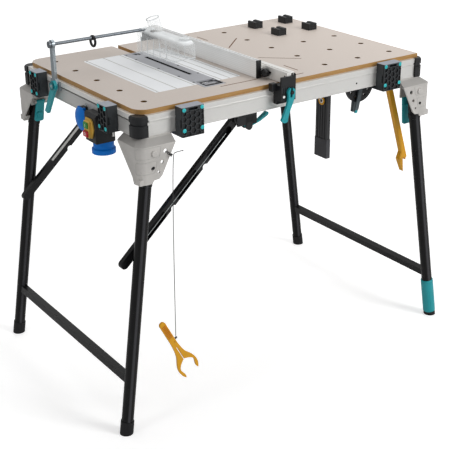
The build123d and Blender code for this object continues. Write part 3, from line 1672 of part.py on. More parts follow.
# Fence beam: a slotted profile across the table
beam_middle_x = (beam_left + beam_right) / 2
beam_middle_z = (beam_bottom + beam_top) / 2
with BuildPart() as fence_beam:
    with BuildSketch(Plane.XZ.offset(-beam_half_length)):
        with Locations((beam_middle_x, beam_middle_z)):
            RectangleRounded(beam_right - beam_left, beam_top - beam_bottom, beam_edge_radius)
        with Locations((beam_left + slot_depth / 2, (slot_low + slot_high) / 2)):
            Rectangle(slot_depth, slot_high - slot_low, mode=Mode.SUBTRACT)
        with Locations((beam_right - face_wall - beam_cell_width / 2, beam_middle_z)):
            RectangleRounded(
                beam_cell_width,
                beam_top - beam_bottom - 2 * beam_cell_margin,
                beam_edge_radius,
                mode=Mode.SUBTRACT,
            )
        with Locations((beam_left + slot_depth / 2, beam_top - beam_groove_depth / 2)):
            Rectangle(beam_groove_width, beam_groove_depth, mode=Mode.SUBTRACT)
    extrude(amount=2 * beam_half_length)
save(fence_beam, "fence_beam")

# Fence face: a tall hollow profile that slides along the beam on its key
face_middle_x = (face_left + face_right) / 2
slot_middle_z = (slot_low + slot_high) / 2
with BuildPart() as fence_face:
    with BuildSketch(Plane.XZ.offset(-face_back)):
        with Locations((face_middle_x, (table_height + slide_gap + face_top) / 2)):
            Rectangle(face_right - face_left, face_top - table_height - slide_gap)
        for cell_z in face_cells_z:
            with Locations((face_middle_x, cell_z)):
                Rectangle(face_right - face_left - 2 * face_wall, face_cell_height, mode=Mode.SUBTRACT)
        with Locations((face_middle_x, face_top - face_groove / 2)):
            Rectangle(face_groove, face_groove, mode=Mode.SUBTRACT)
        with Locations(((face_right + beam_left + slot_depth - slide_gap) / 2, slot_middle_z)):
            Rectangle(
                beam_left + slot_depth - slide_gap - face_right, slot_high - slot_low - 2 * slide_gap
            )
        with Locations(((face_right + beam_left - slide_gap) / 2, slot_middle_z)):
            Rectangle(beam_left - slide_gap - face_right, face_key_height)
    extrude(amount=face_back - face_front)
save(fence_face, "fence_face")

# Fence knob: a lobed knob on the beam's left side
with BuildPart() as fence_knob:
    with BuildSketch(Plane.YZ.offset(beam_left - knob_gap)):
        with Locations((knob_y, slot_middle_z)):
            Circle(knob_radius)
            with PolarLocations(knob_radius + knob_lobe_offset, 6):
                Circle(knob_lobe_radius, mode=Mode.SUBTRACT)
    extrude(amount=-knob_depth)
    fillet(fence_knob.faces().sort_by(Axis.X)[0].edges(), beam_edge_radius / 2)
    rod_between(
        (beam_left - knob_gap, knob_y, slot_middle_z),
        (beam_left - slide_gap, knob_y, slot_middle_z),
        knob_neck_radius,
    )
    rod_between(
        (beam_left - slide_gap, knob_y, slot_middle_z),
        (beam_left + slot_depth - slide_gap, knob_y, slot_middle_z),
        (slot_high - slot_low) / 2 - running_gap,
    )
save(fence_knob, "fence_knob")

# Fence clamps: ribbed bodies under the beam's ends, keyed into the rail's slot
with BuildPart() as fence_clamp_front:
    box_between(
        (clamp_left, -clamp_outer_y, clamp_bottom + clamp_lip * 2),
        (clamp_right, -rail_outer_y - slide_gap, beam_bottom),
    )
    box_between(
        (beam_right, -clamp_outer_y, beam_bottom - clamp_lip),
        (clamp_right, -rail_outer_y - slide_gap, clamp_top),
    )
    box_between(
        (clamp_left, -clamp_outer_y, beam_bottom - clamp_lip),
        (clamp_right, -beam_half_length, clamp_top - clamp_lip),
    )
    box_between(
        (clamp_ear_left, -rail_outer_y - slide_gap - 3 * clamp_lip, beam_bottom - 3 * clamp_lip),
        (clamp_left, -rail_outer_y - slide_gap, beam_bottom + clamp_lip),
    )
    box_between(
        (clamp_left, -rail_outer_y - slide_gap - 3 * clamp_lip, clamp_bottom),
        (clamp_right, -rail_outer_y - slide_gap, clamp_bottom + clamp_lip * 3),
    )
    chamfer(
        fence_clamp_front.edges().filter_by(Axis.X).group_by(Axis.Y)[0].sort_by(Axis.Z)[-1],
        0.6 * clamp_lip,
    )
    with BuildSketch(Plane.XZ.offset(clamp_outer_y)):
        with Locations(((clamp_left + clamp_right) / 2, (clamp_bottom + beam_bottom) / 2 + clamp_lip)):
            with GridLocations(clamp_rib_pitch, 0, 7, 1):
                Rectangle(clamp_rib_width, clamp_rib_height)
    extrude(amount=-clamp_rib_depth, mode=Mode.SUBTRACT)
    # Key in the slot of the rail
    box_between(
        (
            clamp_left,
            -rail_outer_y - slide_gap,
            rail_bottom + t_slot_height - t_slot_width / 2 + slide_gap,
        ),
        (
            clamp_right,
            -rail_outer_y + t_slot_depth / 2,
            rail_bottom + t_slot_height + t_slot_width / 2 - slide_gap,
        ),
    )
    rod_between(
        (clamp_pin_x, -clamp_outer_y - clamp_pin_length, clamp_pin_z),
        (clamp_pin_x, -clamp_outer_y, clamp_pin_z),
        bolt_radius,
    )
save(fence_clamp_front, "fence_clamp_front")
with BuildPart() as fence_clamp_back:
    mirror(fence_clamp_front.part, about=Plane.XZ)
save(fence_clamp_back, "fence_clamp_back")

# Clamp levers: a forked head round the bolt and a broad palm below
lever_left_curve = [
    (clamp_pin_x - across, clamp_pin_z - drop)
    for across, drop in ((12.0, 0), (12.5, 26.0), (23.0, 52.0), (32.0, 70.0))
]
lever_right_curve = [
    (clamp_pin_x + across, clamp_pin_z - drop)
    for across, drop in ((-12.0, 75.0), (-6.0, 52.0), (5.0, 27.0), (12.0, 0))
]
with BuildPart() as clamp_lever_front:
    with BuildSketch(Plane.XZ.offset(clamp_outer_y + slide_gap)):
        with Locations((clamp_pin_x, clamp_pin_z)):
            Circle(clamp_lever_radius)
        with BuildLine():
            Spline(*lever_left_curve)
            RadiusArc(lever_left_curve[-1], lever_right_curve[0], -clamp_lever_radius)
            Spline(*lever_right_curve)
            Line(lever_right_curve[-1], lever_left_curve[0])
        make_face()
        with Locations((clamp_pin_x, clamp_pin_z + bolt_radius)):
            SlotOverall(
                clamp_lever_slot,
                clamp_lever_slot_width,
                rotation=clamp_lever_tilt,
                mode=Mode.SUBTRACT,
            )
        with Locations((clamp_pin_x, clamp_pin_z)):
            Circle(bolt_radius + running_gap, mode=Mode.SUBTRACT)
    extrude(amount=clamp_lever_thickness)
save(clamp_lever_front, "clamp_lever_front")
with BuildPart() as clamp_lever_back:
    mirror(clamp_lever_front.part, about=Plane.XZ)
save(clamp_lever_back, "clamp_lever_back")

# Bench dogs: notched heads on round pegs in four holes of the board
with BuildPart() as bench_dogs:
    for dog_x in hole_columns[2:4]:
        for dog_y in hole_rows[3:5]:
            rod_between(
                (dog_x, dog_y, board_bottom), (dog_x, dog_y, table_height), dog_peg_radius
            )
            with BuildSketch(Plane.XY.offset(table_height)):
                with Locations((dog_x, dog_y)):
                    RectangleRounded(dog_width, dog_depth, dog_corner_radius)
            extrude(amount=dog_height)
            with BuildSketch(Plane.XZ.offset(-dog_y - overrun)):
                outline(
                    [
                        (dog_x - dog_width / 4, table_height + dog_height + dog_clear),
                        (dog_x + dog_width / 4, table_height + dog_height + dog_clear),
                        (dog_x, table_height + dog_height - dog_width / 4),
                    ]
                )
            extrude(amount=2 * overrun, mode=Mode.SUBTRACT)
save(bench_dogs, "bench_dogs")

# Hanging tool: a round-ended handle and a slit fork whose two curved prongs turn inwards at the tips
tool_plane = Plane(
    origin=(tool_x, tool_y - tool_thickness / 2, tool_z),
    x_dir=(math.cos(math.radians(tool_slant)), 0, -math.sin(math.radians(tool_slant))),
    z_dir=(0, -1, 0),
)
prong_outer = [
    (tool_waist, tool_half_width),
    (tool_crotch * 0.72, tool_half_width * 1.25),
    (tool_crotch * 0.9, tool_half_width * 1.9),
    (tool_crotch * 1.07, tool_spread * 0.9),
    (tool_crotch * 1.22, tool_spread),
    (tool_length, tool_spread * 0.74),
]
prong_inner = [
    (tool_length, tool_spread * 0.7),
    (tool_crotch * 1.3, tool_spread * 0.66),
    (tool_crotch * 1.17, tool_spread * 0.77),
    (tool_crotch * 1.05, tool_spread * 0.4),
    (tool_crotch, tool_slit / 2),
]
with BuildPart() as fork:
    with BuildSketch(tool_plane) as tool:
        with BuildLine():
            Spline(*prong_outer)
            Line(prong_outer[-1], prong_inner[0])
            Spline(*prong_inner)
            Line(prong_inner[-1], (tool_waist * 1.4, tool_slit / 2))
            Line((tool_waist * 1.4, tool_slit / 2), (tool_waist * 1.4, 0))
            Line((tool_waist * 1.4, 0), (0, 0))
            Line((0, 0), (0, tool_half_width))
            Line((0, tool_half_width), prong_outer[0])
        make_face()
        mirror(about=Plane.XZ)
        with Locations((0, 0)):
            Circle(tool_half_width)
        with Locations((tool_waist * 1.1, tool_half_width * 0.4)):
            Circle(2 * cord_radius, mode=Mode.SUBTRACT)
    extrude(amount=-tool_thickness)
save(fork, "fork")

# Cord: a loose end, the knot at the bracket, and one straight run down to the tool
knot_point = tool_plane.from_local_coords((tool_waist, tool_half_width + knot_radius + seat_gap))
cord_points = [
    Vector(-364.5, cord_y, 748.6),
    Vector(-380.0, cord_y, 750.0),
    Vector(-398.5, cord_y, 744.5),
    Vector(knot_point.X, tool_y, knot_point.Z + cord_radius),
]


def corner_radii(points):
    """Largest radii that the neighbouring runs allow, one for each corner."""
    radii = []
    for before, here, after in zip(points, points[1:], points[2:]):
        turn = (here - before).get_angle(after - here)
        shorter = min((here - before).length, (after - here).length)
        radii.append(0.45 * shorter / math.tan(math.radians(turn / 2)))
    return radii


cord_radii = corner_radii(cord_points)
print("cord radii", [round(radius, 2) for radius in cord_radii])
with BuildPart() as cord:
    with BuildLine() as cord_path:
        FilletPolyline(*cord_points, radius=cord_radii)
    with BuildSketch(Plane(origin=cord_points[0], z_dir=cord_points[1] - cord_points[0])):
        Circle(cord_radius)
    sweep()
cord_length = cord_path.wire().length
print("cord length", round(cord_length, 2), "volume share", round(cord.part.volume / (math.pi * cord_radius**2 * cord_length), 4))
save(cord, "cord")

with BuildPart() as cord_knots:
    with Locations(cord_points[2], (knot_point.X, tool_y, knot_point.Z)):
        Sphere(knot_radius)
    # Loop of the upper knot through the first hole of the bracket
    loop_point = Vector(
        -wing_holes[0][0] + wing_holes[0][2] / 2,
        -bracket_outer_y - knot_radius,
        wing_holes[0][1] - wing_holes[0][2] / 2,
    )
    rod_between(cord_points[2], loop_point, loop_radius)
    rod_between(loop_point, loop_point + Vector(0, 2 * knot_radius, 0), loop_radius)
    with Locations(loop_point):
        Sphere(loop_radius)
    add(cord.part, mode=Mode.SUBTRACT)
save(cord_knots, "cord_knots")
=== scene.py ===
"""Visual model of a folding machine table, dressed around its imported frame."""

import logging
import math
from dataclasses import dataclass
from enum import Enum

import bmesh
import bpy
import numpy as np
from mathutils import Matrix, Vector


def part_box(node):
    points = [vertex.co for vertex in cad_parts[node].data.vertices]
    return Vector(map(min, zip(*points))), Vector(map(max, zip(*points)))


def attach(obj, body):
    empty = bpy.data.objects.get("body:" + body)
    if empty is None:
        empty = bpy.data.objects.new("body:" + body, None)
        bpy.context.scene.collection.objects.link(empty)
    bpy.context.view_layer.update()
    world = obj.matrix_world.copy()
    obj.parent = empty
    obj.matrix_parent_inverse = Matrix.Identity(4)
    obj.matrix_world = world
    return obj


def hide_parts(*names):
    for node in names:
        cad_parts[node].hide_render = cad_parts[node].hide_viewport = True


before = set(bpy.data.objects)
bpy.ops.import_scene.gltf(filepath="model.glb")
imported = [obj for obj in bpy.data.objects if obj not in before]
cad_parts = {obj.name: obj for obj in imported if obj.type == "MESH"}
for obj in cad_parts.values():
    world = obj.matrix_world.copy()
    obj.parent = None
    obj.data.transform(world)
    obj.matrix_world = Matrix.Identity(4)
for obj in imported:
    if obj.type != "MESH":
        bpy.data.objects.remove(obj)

MM = 0.001
LOG = logging.getLogger("machine_table")
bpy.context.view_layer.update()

Colour = tuple[float, float, float]
Point = tuple[float, float, float]
Pair = tuple[float, float]
Rows = tuple[tuple[float, ...], ...]
Line = tuple[Point, Point]
Block = tuple[np.ndarray, np.ndarray | list]
Material = bpy.types.Material
Piece = bpy.types.Object
Socket = bpy.types.NodeSocket

PLAIN: Point = (1.0, 1.0, 1.0)
ALONG_X: Point = (1.0, 0.0, 0.0)
ALONG_Y: Point = (0.0, 1.0, 0.0)
ALONG_Z: Point = (0.0, 0.0, 1.0)


class Side(Enum):
    """The way a face of the table looks."""

    FRONT = (0.0, -1.0, 0.0)
    LEFT = (-1.0, 0.0, 0.0)
    UP = (0.0, 0.0, 1.0)


class Brush(Enum):
    """Stretch of the brushing noise along each axis."""

    ALONG_X = (4.0, 900.0, 900.0)
    ALONG_Y = (900.0, 4.0, 900.0)
    ALONG_Z = (900.0, 900.0, 4.0)


class Drive(Enum):
    """Recess in a screw's head: number of lobes and how sharp they are."""

    CROSS = (4, 5.0)
    STAR = (6, 1.5)
    HEXAGON = (6, 0.35)


class Head(Enum):
    """Head of a screw: its radius and height in millimetres, and its recess."""

    STRIP = (3.5, 0.7, Drive.HEXAGON)
    INSERT = (2.4, 0.5, Drive.CROSS)
    LEFT_RAIL = (4.6, 1.6, Drive.CROSS)
    FRONT_RAIL = (2.6, 1.2, Drive.HEXAGON)
    BRACKET = (4.0, 1.0, Drive.HEXAGON)
    SLIDER = (4.2, 1.5, Drive.HEXAGON)
    BLOCK = (5.2, 2.0, Drive.STAR)
    PROTRACTOR = (3.2, 1.2, Drive.CROSS)
    HUB = (2.4, 1.0, Drive.CROSS)


# Units and colours


def mm(*lengths: float) -> tuple[float, ...]:
    """Lengths in millimetres as metres."""
    return tuple(length * MM for length in lengths)


def shade(colour: Colour, factor: float) -> Colour:
    """The same colour, lighter or darker."""
    return tuple(min(1.0, channel * factor) for channel in colour)


def linear(red: int, green: int, blue: int) -> Colour:
    """Scene colour of a screen colour given from 0 to 255."""
    shares = (red / 255.0, green / 255.0, blue / 255.0)
    return tuple(
        share / 12.92 if share <= 0.04045 else ((share + 0.055) / 1.055) ** 2.4 for share in shares
    )


# Node trees


class Nodes:
    """A node tree, with a short call for each step that the scene needs."""

    def __init__(self, tree: bpy.types.NodeTree) -> None:
        """Take up a tree.

        Args:
            tree: the tree that gets the nodes.
        """
        self.tree = tree

    def feed(self, target: Socket, value: object) -> None:
        """Link a socket to another one, or set its constant."""
        if isinstance(value, Socket):
            self.tree.links.new(value, target)
        else:
            target.default_value = value

    def node(
        self, kind: str, inputs: dict[str | int, object] | None = None, **settings: object
    ) -> bpy.types.Node:
        """Add a node.

        Args:
            kind: the node's type.
            inputs: a socket or a constant for each input that is fed.
            settings: the node's properties.

        Returns:
            The node.
        """
        made = self.tree.nodes.new(kind)
        for key, value in settings.items():
            setattr(made, key, value)
        for key, value in (inputs or {}).items():
            self.feed(made.inputs[key], value)
        return made

    def window(
        self, value: Socket, low: float, high: float, start: float = 0.0, end: float = 1.0
    ) -> Socket:
        """Map a value's stretch from low to high onto start to end, clamped."""
        ends = {"Value": value, "From Min": low, "From Max": high, "To Min": start, "To Max": end}
        return self.node("ShaderNodeMapRange", ends, clamp=True).outputs["Result"]

    def maths(self, kind: str, first: Socket, second: Socket | float = 0.0) -> Socket:
        """One step of arithmetic."""
        return self.node("ShaderNodeMath", {0: first, 1: second}, operation=kind).outputs["Value"]

    def seen(self) -> Socket:
        """Share that is 1 for what is looked at, straight or through a clear piece."""
        rays = self.node("ShaderNodeLightPath").outputs
        return self.maths("MAXIMUM", rays["Is Camera Ray"], rays["Is Transmission Ray"])


class Recipe(Nodes):
    """Node tree of one material."""

    def __init__(self, name: str, roughness: float, metallic: float = 0.0) -> None:
        """Start a material with its shader.

        Args:
            name: name of the material.
            roughness: roughness of the whole surface, used where nothing is linked to it.
            metallic: metalness of the whole surface.
        """
        self.material = bpy.data.materials.new(name)
        self.material.use_nodes = True
        super().__init__(self.material.node_tree)
        self.shader = self.tree.nodes["Principled BSDF"]
        self.surface("Roughness", roughness)
        self.surface("Metallic", metallic)

    def surface(self, name: str, value: object) -> None:
        """Feed one input of the shader."""
        self.feed(self.shader.inputs[name], value)

    def place(self, stretch: Point = PLAIN) -> Socket:
        """Object coordinates, stretched along each axis."""
        where = self.node("ShaderNodeTexCoord").outputs["Object"]
        return self.node("ShaderNodeMapping", {"Vector": where, "Scale": stretch}).outputs["Vector"]

    def axis(self, letter: str) -> Socket:
        """One coordinate of the point that is shaded, in metres."""
        where = self.node("ShaderNodeTexCoord").outputs["Object"]
        return self.node("ShaderNodeSeparateXYZ", {"Vector": where}).outputs[letter]

    def reach(self, letter: str, middle: float = 0.0) -> Socket:
        """Distance of the shaded point from a middle along one axis."""
        offset = self.maths("SUBTRACT", self.axis(letter), middle)
        return self.maths("ABSOLUTE", offset)

    def skin(self) -> Socket:
        """The way the surface looks."""
        return self.node("ShaderNodeNewGeometry").outputs["Normal"]

    def noise(
        self, scale: float, detail: float, rough: float = 0.55, stretch: Point = PLAIN
    ) -> Socket:
        """Cloudy noise from 0 to 1."""
        shape = {"Vector": self.place(stretch), "Scale": scale, "Detail": detail, "Roughness": rough}
        return self.node("ShaderNodeTexNoise", shape).outputs["Fac"]

    def between(self, value: Socket, rise: Pair, fall: Pair) -> Socket:
        """Share that goes up from 0 to 1 over the rise and back over the fall."""
        return self.maths("MULTIPLY", self.window(value, *rise), self.window(value, *fall, 1.0, 0.0))

    def mix(self, share: Socket, low: Socket | Colour, high: Socket | Colour) -> Socket:
        """Colour between two others, by a share from 0 to 1."""
        low, high = ((*end, 1.0) if isinstance(end, tuple) else end for end in (low, high))
        made = self.node("ShaderNodeMix", {"Factor": share, 6: low, 7: high}, data_type="RGBA")
        return made.outputs[2]

    def tones(self, share: Socket, colour: Colour, dark: float, light: float) -> Socket:
        """Colour between a darker and a lighter shade of one colour, by a share."""
        return self.mix(share, shade(colour, dark), shade(colour, light))

    def wear(
        self, share: Socket, smooth: float, rough: float, low: float = 0.3, high: float = 0.7
    ) -> None:
        """Let the roughness go from smooth to rough while a share goes from low to high."""
        self.surface("Roughness", self.window(share, low, high, smooth, rough))

    def bump(self, height: Socket, depth: float) -> None:
        """Raise the surface by a height from 0 to 1, times a depth in metres."""
        made = self.node("ShaderNodeBump", {"Height": height, "Distance": depth, "Strength": 1.0})
        self.surface("Normal", made.outputs["Normal"])


# Finishes


@dataclass(frozen=True)
class MouldedPlastic:
    """Moulded plastic with a fine grain, faint clouds of tone and scuffed gloss."""

    name: str
    colour: Colour
    roughness: float = 0.42
    grain: float = 900.0
    grain_depth: float = 0.00006
    tone: float = 0.16
    shine: float = 0.3

    def material(self) -> Material:
        """Build the material."""
        recipe = Recipe(self.name, self.roughness)
        recipe.surface("Specular IOR Level", self.shine)
        clouds = recipe.noise(14.0, 4.0)
        tones = recipe.tones(clouds, self.colour, 1.0 - self.tone, 1.0 + self.tone)
        speckle = recipe.noise(self.grain, 2.0)
        pale = recipe.window(speckle, 0.35, 0.65, 0.0, 0.35)
        recipe.surface("Base Color", recipe.mix(pale, tones, shade(self.colour, 1.35)))
        scuffs = recipe.noise(6.0, 5.0, stretch=(30.0, 30.0, 4.0))
        recipe.wear(scuffs, self.roughness - 0.07, self.roughness + 0.1)
        recipe.bump(speckle, self.grain_depth)
        return recipe.material


@dataclass(frozen=True)
class BrushedMetal:
    """Extruded or rolled metal with fine streaks along its length.

    With a line pitch, darker lines repeat with the sine of the height. Above a given height the
    metal is painted paler, as painted light.
    """

    name: str
    colour: Colour
    brush: Brush
    roughness: float = 0.36
    metallic: float = 0.35
    contrast: float = 0.06
    line_pitch: float = 0.0
    painted_light_above: float = 0.0

    def material(self) -> Material:
        """Build the material."""
        recipe = Recipe(self.name, self.roughness, self.metallic)
        streaks = recipe.noise(1.0, 4.0, 0.7, self.brush.value)
        clouds = recipe.noise(5.0, 3.0)
        tones = recipe.tones(streaks, self.colour, 1.0 - self.contrast, 1.0 + self.contrast)
        smudges = recipe.window(clouds, 0.4, 0.75, 0.0, 0.3)
        metal = recipe.mix(smudges, tones, shade(self.colour, 0.86))
        if self.line_pitch:
            turns = recipe.maths("MULTIPLY", recipe.axis("Z"), 2.0 * math.pi / self.line_pitch)
            lines = recipe.window(recipe.maths("SINE", turns), 0.3, 1.0, 0.0, 0.35)
            metal = recipe.mix(lines, metal, shade(self.colour, 0.72))
        # Painted light: the metal is paler above the height.
        if self.painted_light_above:
            over = recipe.window(recipe.axis("Z"), self.painted_light_above, self.painted_light_above + 0.5 * MM, 0.0, 0.8)
            metal = recipe.mix(over, metal, shade(self.colour, 1.6))
        recipe.surface("Base Color", metal)
        recipe.wear(streaks, self.roughness - 0.08, self.roughness + 0.1, 0.25, 0.75)
        recipe.bump(streaks, 0.00003)
        return recipe.material


@dataclass(frozen=True)
class CastMetal:
    """Blasted die casting: a light warm grey with a fine pebbled skin and painted shade on its flared
    shoulder.
    """

    name: str
    colour: Colour
    flare_low: float
    flare_high: float
    shoulder_shade: float = 0.78
    roughness: float = 0.46
    metallic: float = 0.25

    def material(self) -> Material:
        """Build the material."""
        recipe = Recipe(self.name, self.roughness, self.metallic)
        clouds = recipe.noise(22.0, 5.0)
        tones = recipe.tones(recipe.window(clouds, 0.3, 0.7), self.colour, 0.9, 1.06)
        spots = recipe.window(recipe.noise(160.0, 2.0), 0.62, 0.72, 0.0, 0.25)
        skin = recipe.mix(spots, tones, shade(self.colour, 0.72))
        rise = (self.flare_low, self.flare_low + 0.6 * MM)
        fall = (self.flare_high - 1.5 * MM, self.flare_high)
        flare = recipe.between(recipe.axis("Z"), rise, fall)
        # Painted shade: the flared shoulder is darker.
        shoulder = recipe.tones(clouds, self.colour, 0.85 * self.shoulder_shade, self.shoulder_shade)
        recipe.surface("Base Color", recipe.mix(flare, skin, shoulder))
        recipe.wear(clouds, self.roughness - 0.06, self.roughness + 0.08)
        pebbles = recipe.node("ShaderNodeTexVoronoi", {"Vector": recipe.place(), "Scale": 1400.0})
        recipe.bump(pebbles.outputs["Distance"], 0.00012)
        return recipe.material


@dataclass(frozen=True)
class PowderCoat:
    """Black powder coating with an even orange peel and a painted highlight.

    The painted highlight is lighter where the skin looks the way of the shine: the share rises with
    the dot product of the skin's direction and that way.
    """

    name: str
    colour: Colour
    roughness: float = 0.26
    # Way that the skin faces where the painted highlight is lightest.
    shine: Point = (-0.27, -0.963, 0.0)

    def material(self) -> Material:
        """Build the material."""
        recipe = Recipe(self.name, self.roughness)
        recipe.surface("Specular IOR Level", 0.2)
        clouds = recipe.noise(9.0, 4.0)
        dust = recipe.window(recipe.noise(230.0, 4.0), 0.64, 0.76, 0.0, 0.3)
        coat = recipe.mix(dust, recipe.tones(clouds, self.colour, 0.7, 1.5), shade(self.colour, 3.5))
        ways = {0: recipe.skin(), 1: self.shine}
        facing = recipe.node("ShaderNodeVectorMath", ways, operation="DOT_PRODUCT")
        # Painted highlight: a lighter band of colour on the skin that faces the shine.
        painted_highlight = recipe.window(facing.outputs["Value"], 0.955, 0.99)
        recipe.surface("Base Color", recipe.mix(painted_highlight, coat, shade(self.colour, 13.0)))
        recipe.wear(clouds, self.roughness - 0.05, self.roughness + 0.09)
        recipe.bump(recipe.noise(520.0, 2.0), 0.00005)
        return recipe.material


@dataclass(frozen=True)
class LaminatedBoard:
    """Coated board: a warm grey printed top over a golden brown core that shows at every edge.

    The face gets a painted sheen that makes it paler towards the right. Inside the openings the core
    gets painted shade, darker apart from the mouth of the board's back slot.
    """

    name: str
    face: Colour
    core: Colour
    top: float
    underside: float
    half_x: float
    half_y: float
    corner: float = 36.0 * MM
    mouth_x: float = -180.0 * MM
    mouth_half: float = 24.0 * MM
    mouth_start: float = 195.0 * MM

    def material(self) -> Material:
        """Build the material."""
        recipe = Recipe(self.name, 0.42)
        clouds = recipe.noise(3.0, 5.0)
        fibre = recipe.noise(420.0, 4.0, 0.75)
        streaks = recipe.noise(1.0, 3.0, stretch=(26.0, 260.0, 260.0))
        # Painted sheen: the face is painted paler towards the right.
        pale = recipe.window(recipe.axis("X"), -0.6 * self.half_x, self.half_x, 0.0, 0.75)
        face = recipe.tones(clouds, self.face, 0.95, 1.05)
        for share, factor in (
            (recipe.window(fibre, 0.3, 0.7, 0.0, 0.22), 0.78),
            (recipe.window(streaks, 0.45, 0.8, 0.0, 0.2), 1.1),
            (pale, 1.32),
        ):
            face = recipe.mix(share, face, shade(self.face, factor))
        grain = recipe.noise(1.0, 5.0, 0.7, (18.0, 18.0, 900.0))
        core = recipe.tones(recipe.window(grain, 0.3, 0.7), self.core, 0.68, 1.25)
        # Painted shade: the core is darker inside the openings.
        core = recipe.mix(self.inside(recipe), core, shade(self.core, 0.32))
        height, skin = recipe.axis("Z"), 0.25 * MM
        is_top = recipe.window(height, self.top - skin, self.top - skin / 2)
        is_low = recipe.window(height, self.underside + skin / 2, self.underside + skin, 1.0, 0.0)
        recipe.surface("Base Color", recipe.mix(recipe.maths("MAXIMUM", is_top, is_low), core, face))
        recipe.wear(fibre, 0.36, 0.5)
        recipe.bump(fibre, 0.00004)
        return recipe.material

    def inside(self, recipe: Recipe) -> Socket:
        """Share that is 1 in the openings and 0 at the outer edge and in the back slot's mouth."""
        inner = recipe.maths(
            "MAXIMUM", self.within(recipe, self.corner, 0.0), self.within(recipe, 0.0, self.corner)
        )
        ahead = recipe.window(recipe.axis("Y"), self.mouth_start, self.mouth_start + MM, 1.0, 0.0)
        beside = recipe.window(
            recipe.reach("X", self.mouth_x), self.mouth_half, self.mouth_half + MM
        )
        return recipe.maths("MULTIPLY", inner, recipe.maths("MAXIMUM", ahead, beside))

    def within(self, recipe: Recipe, margin_x: float, margin_y: float) -> Socket:
        """Share that is 1 inside the board's outline drawn in by a margin, and 0 outside it."""
        limits = (("X", self.half_x - margin_x), ("Y", self.half_y - margin_y))
        shares = [
            recipe.window(recipe.reach(letter), limit - 2 * MM, limit - MM, 1.0, 0.0)
            for letter, limit in limits
        ]
        return recipe.maths("MULTIPLY", *shares)


@dataclass(frozen=True)
class BlockPlastic:
    """Black moulding: a painted reflection that makes the top grey, a dark grey web and painted shade,
    near black, in the comb's cells.
    """

    name: str
    colour: Colour
    web: Colour
    painted_top_reflection: Colour
    top: float
    front_floor: float
    end_floor: float

    def material(self) -> Material:
        """Build the material."""
        recipe = Recipe(self.name, 0.4)
        recipe.surface("Specular IOR Level", 0.4)
        clouds = recipe.noise(18.0, 4.0)
        # Painted shade: near black at the bottom of the comb's cells.
        painted_floor_shade = [
            recipe.between(
                recipe.axis(letter), (level - 1.6 * MM, level - MM), (level + MM, level + 1.6 * MM)
            )
            for letter, level in (("Y", self.front_floor), ("X", self.end_floor))
        ]
        web = recipe.tones(clouds, self.web, 0.85, 1.2)
        sides = recipe.mix(recipe.maths("MAXIMUM", *painted_floor_shade), web, shade(self.colour, 0.5))
        # Painted reflection: the top face is a lighter grey.
        scratches = recipe.noise(2.0, 4.0, stretch=(160.0, 30.0, 1.0))
        painted_top_reflection = recipe.tones(scratches, self.painted_top_reflection, 0.8, 1.2)
        is_top = recipe.window(recipe.axis("Z"), self.top - 0.4 * MM, self.top - 0.1 * MM)
        recipe.surface("Base Color", recipe.mix(is_top, sides, painted_top_reflection))
        recipe.wear(clouds, 0.33, 0.48)
        recipe.bump(recipe.noise(800.0, 2.0), 0.00006)
        return recipe.material


@dataclass(frozen=True)
class SleevedBar:
    """Black bar with a moulded sleeve of lighter, duller plastic below a height."""

    name: str
    colour: Colour
    sleeve: Colour
    sleeve_top: float

    def material(self) -> Material:
        """Build the material."""
        recipe = Recipe(self.name, 0.4)
        bar = recipe.tones(recipe.noise(16.0, 4.0), self.colour, 0.8, 1.3)
        grain = recipe.noise(1.0, 3.0, stretch=(300.0, 300.0, 900.0))
        sleeve = recipe.tones(grain, self.sleeve, 0.8, 1.2)
        top = self.sleeve_top
        is_sleeve = recipe.window(recipe.axis("Z"), top - 0.3 * MM, top, 1.0, 0.0)
        recipe.surface("Base Color", recipe.mix(is_sleeve, bar, sleeve))
        recipe.wear(is_sleeve, 0.34, 0.55, 0.0, 1.0)
        recipe.bump(grain, 0.00005)
        return recipe.material


@dataclass(frozen=True)
class ClearShell:
    """Clear moulding: see-through where it faces the eye, milky where it turns away or looks up.

    The rim that turns away gets painted shade, greyer than the rest.
    """

    name: str
    tint: Colour
    thin: float = 0.09
    thick: float = 0.62
    crown: float = 0.85

    def material(self) -> Material:
        """Build the material."""
        recipe = Recipe(self.name, 0.06)
        edge = recipe.node("ShaderNodeLayerWeight", {"Blend": 0.25}).outputs["Facing"]
        lie = recipe.node("ShaderNodeSeparateXYZ", {"Vector": recipe.skin()}).outputs["Z"]
        haze = recipe.noise(40.0, 4.0)
        turned_away = recipe.window(edge, 0.2, 0.95, self.thin, self.thick)
        crown = recipe.window(lie, 0.35, 0.9, 0.0, self.crown)
        milky = recipe.maths("MAXIMUM", turned_away, crown)
        milky = recipe.maths("ADD", milky, recipe.window(haze, 0.45, 0.75, 0.0, 0.04))
        recipe.surface("Alpha", milky)
        clean = recipe.tones(haze, self.tint, 0.97, 1.04)
        # Painted shade: the rim that turns away is greyer.
        rim = recipe.window(edge, 0.45, 0.95)
        recipe.surface("Base Color", recipe.mix(rim, clean, shade(self.tint, 0.6)))
        recipe.wear(haze, 0.04, 0.1, 0.35)
        return recipe.material


@dataclass(frozen=True)
class TwistedCord:
    """Braided black cord with a slanted twist along its length."""

    name: str
    colour: Colour

    def material(self) -> Material:
        """Build the material."""
        recipe = Recipe(self.name, 0.7)
        recipe.surface("Sheen Weight", 0.3)
        twist = {"Vector": recipe.place(), "Scale": 300.0, "Distortion": 1.5}
        strands = recipe.node(
            "ShaderNodeTexWave", twist, wave_type="BANDS", bands_direction="DIAGONAL"
        ).outputs["Fac"]
        recipe.surface("Base Color", recipe.tones(strands, self.colour, 0.5, 1.8))
        recipe.bump(strands, 0.0002)
        return recipe.material


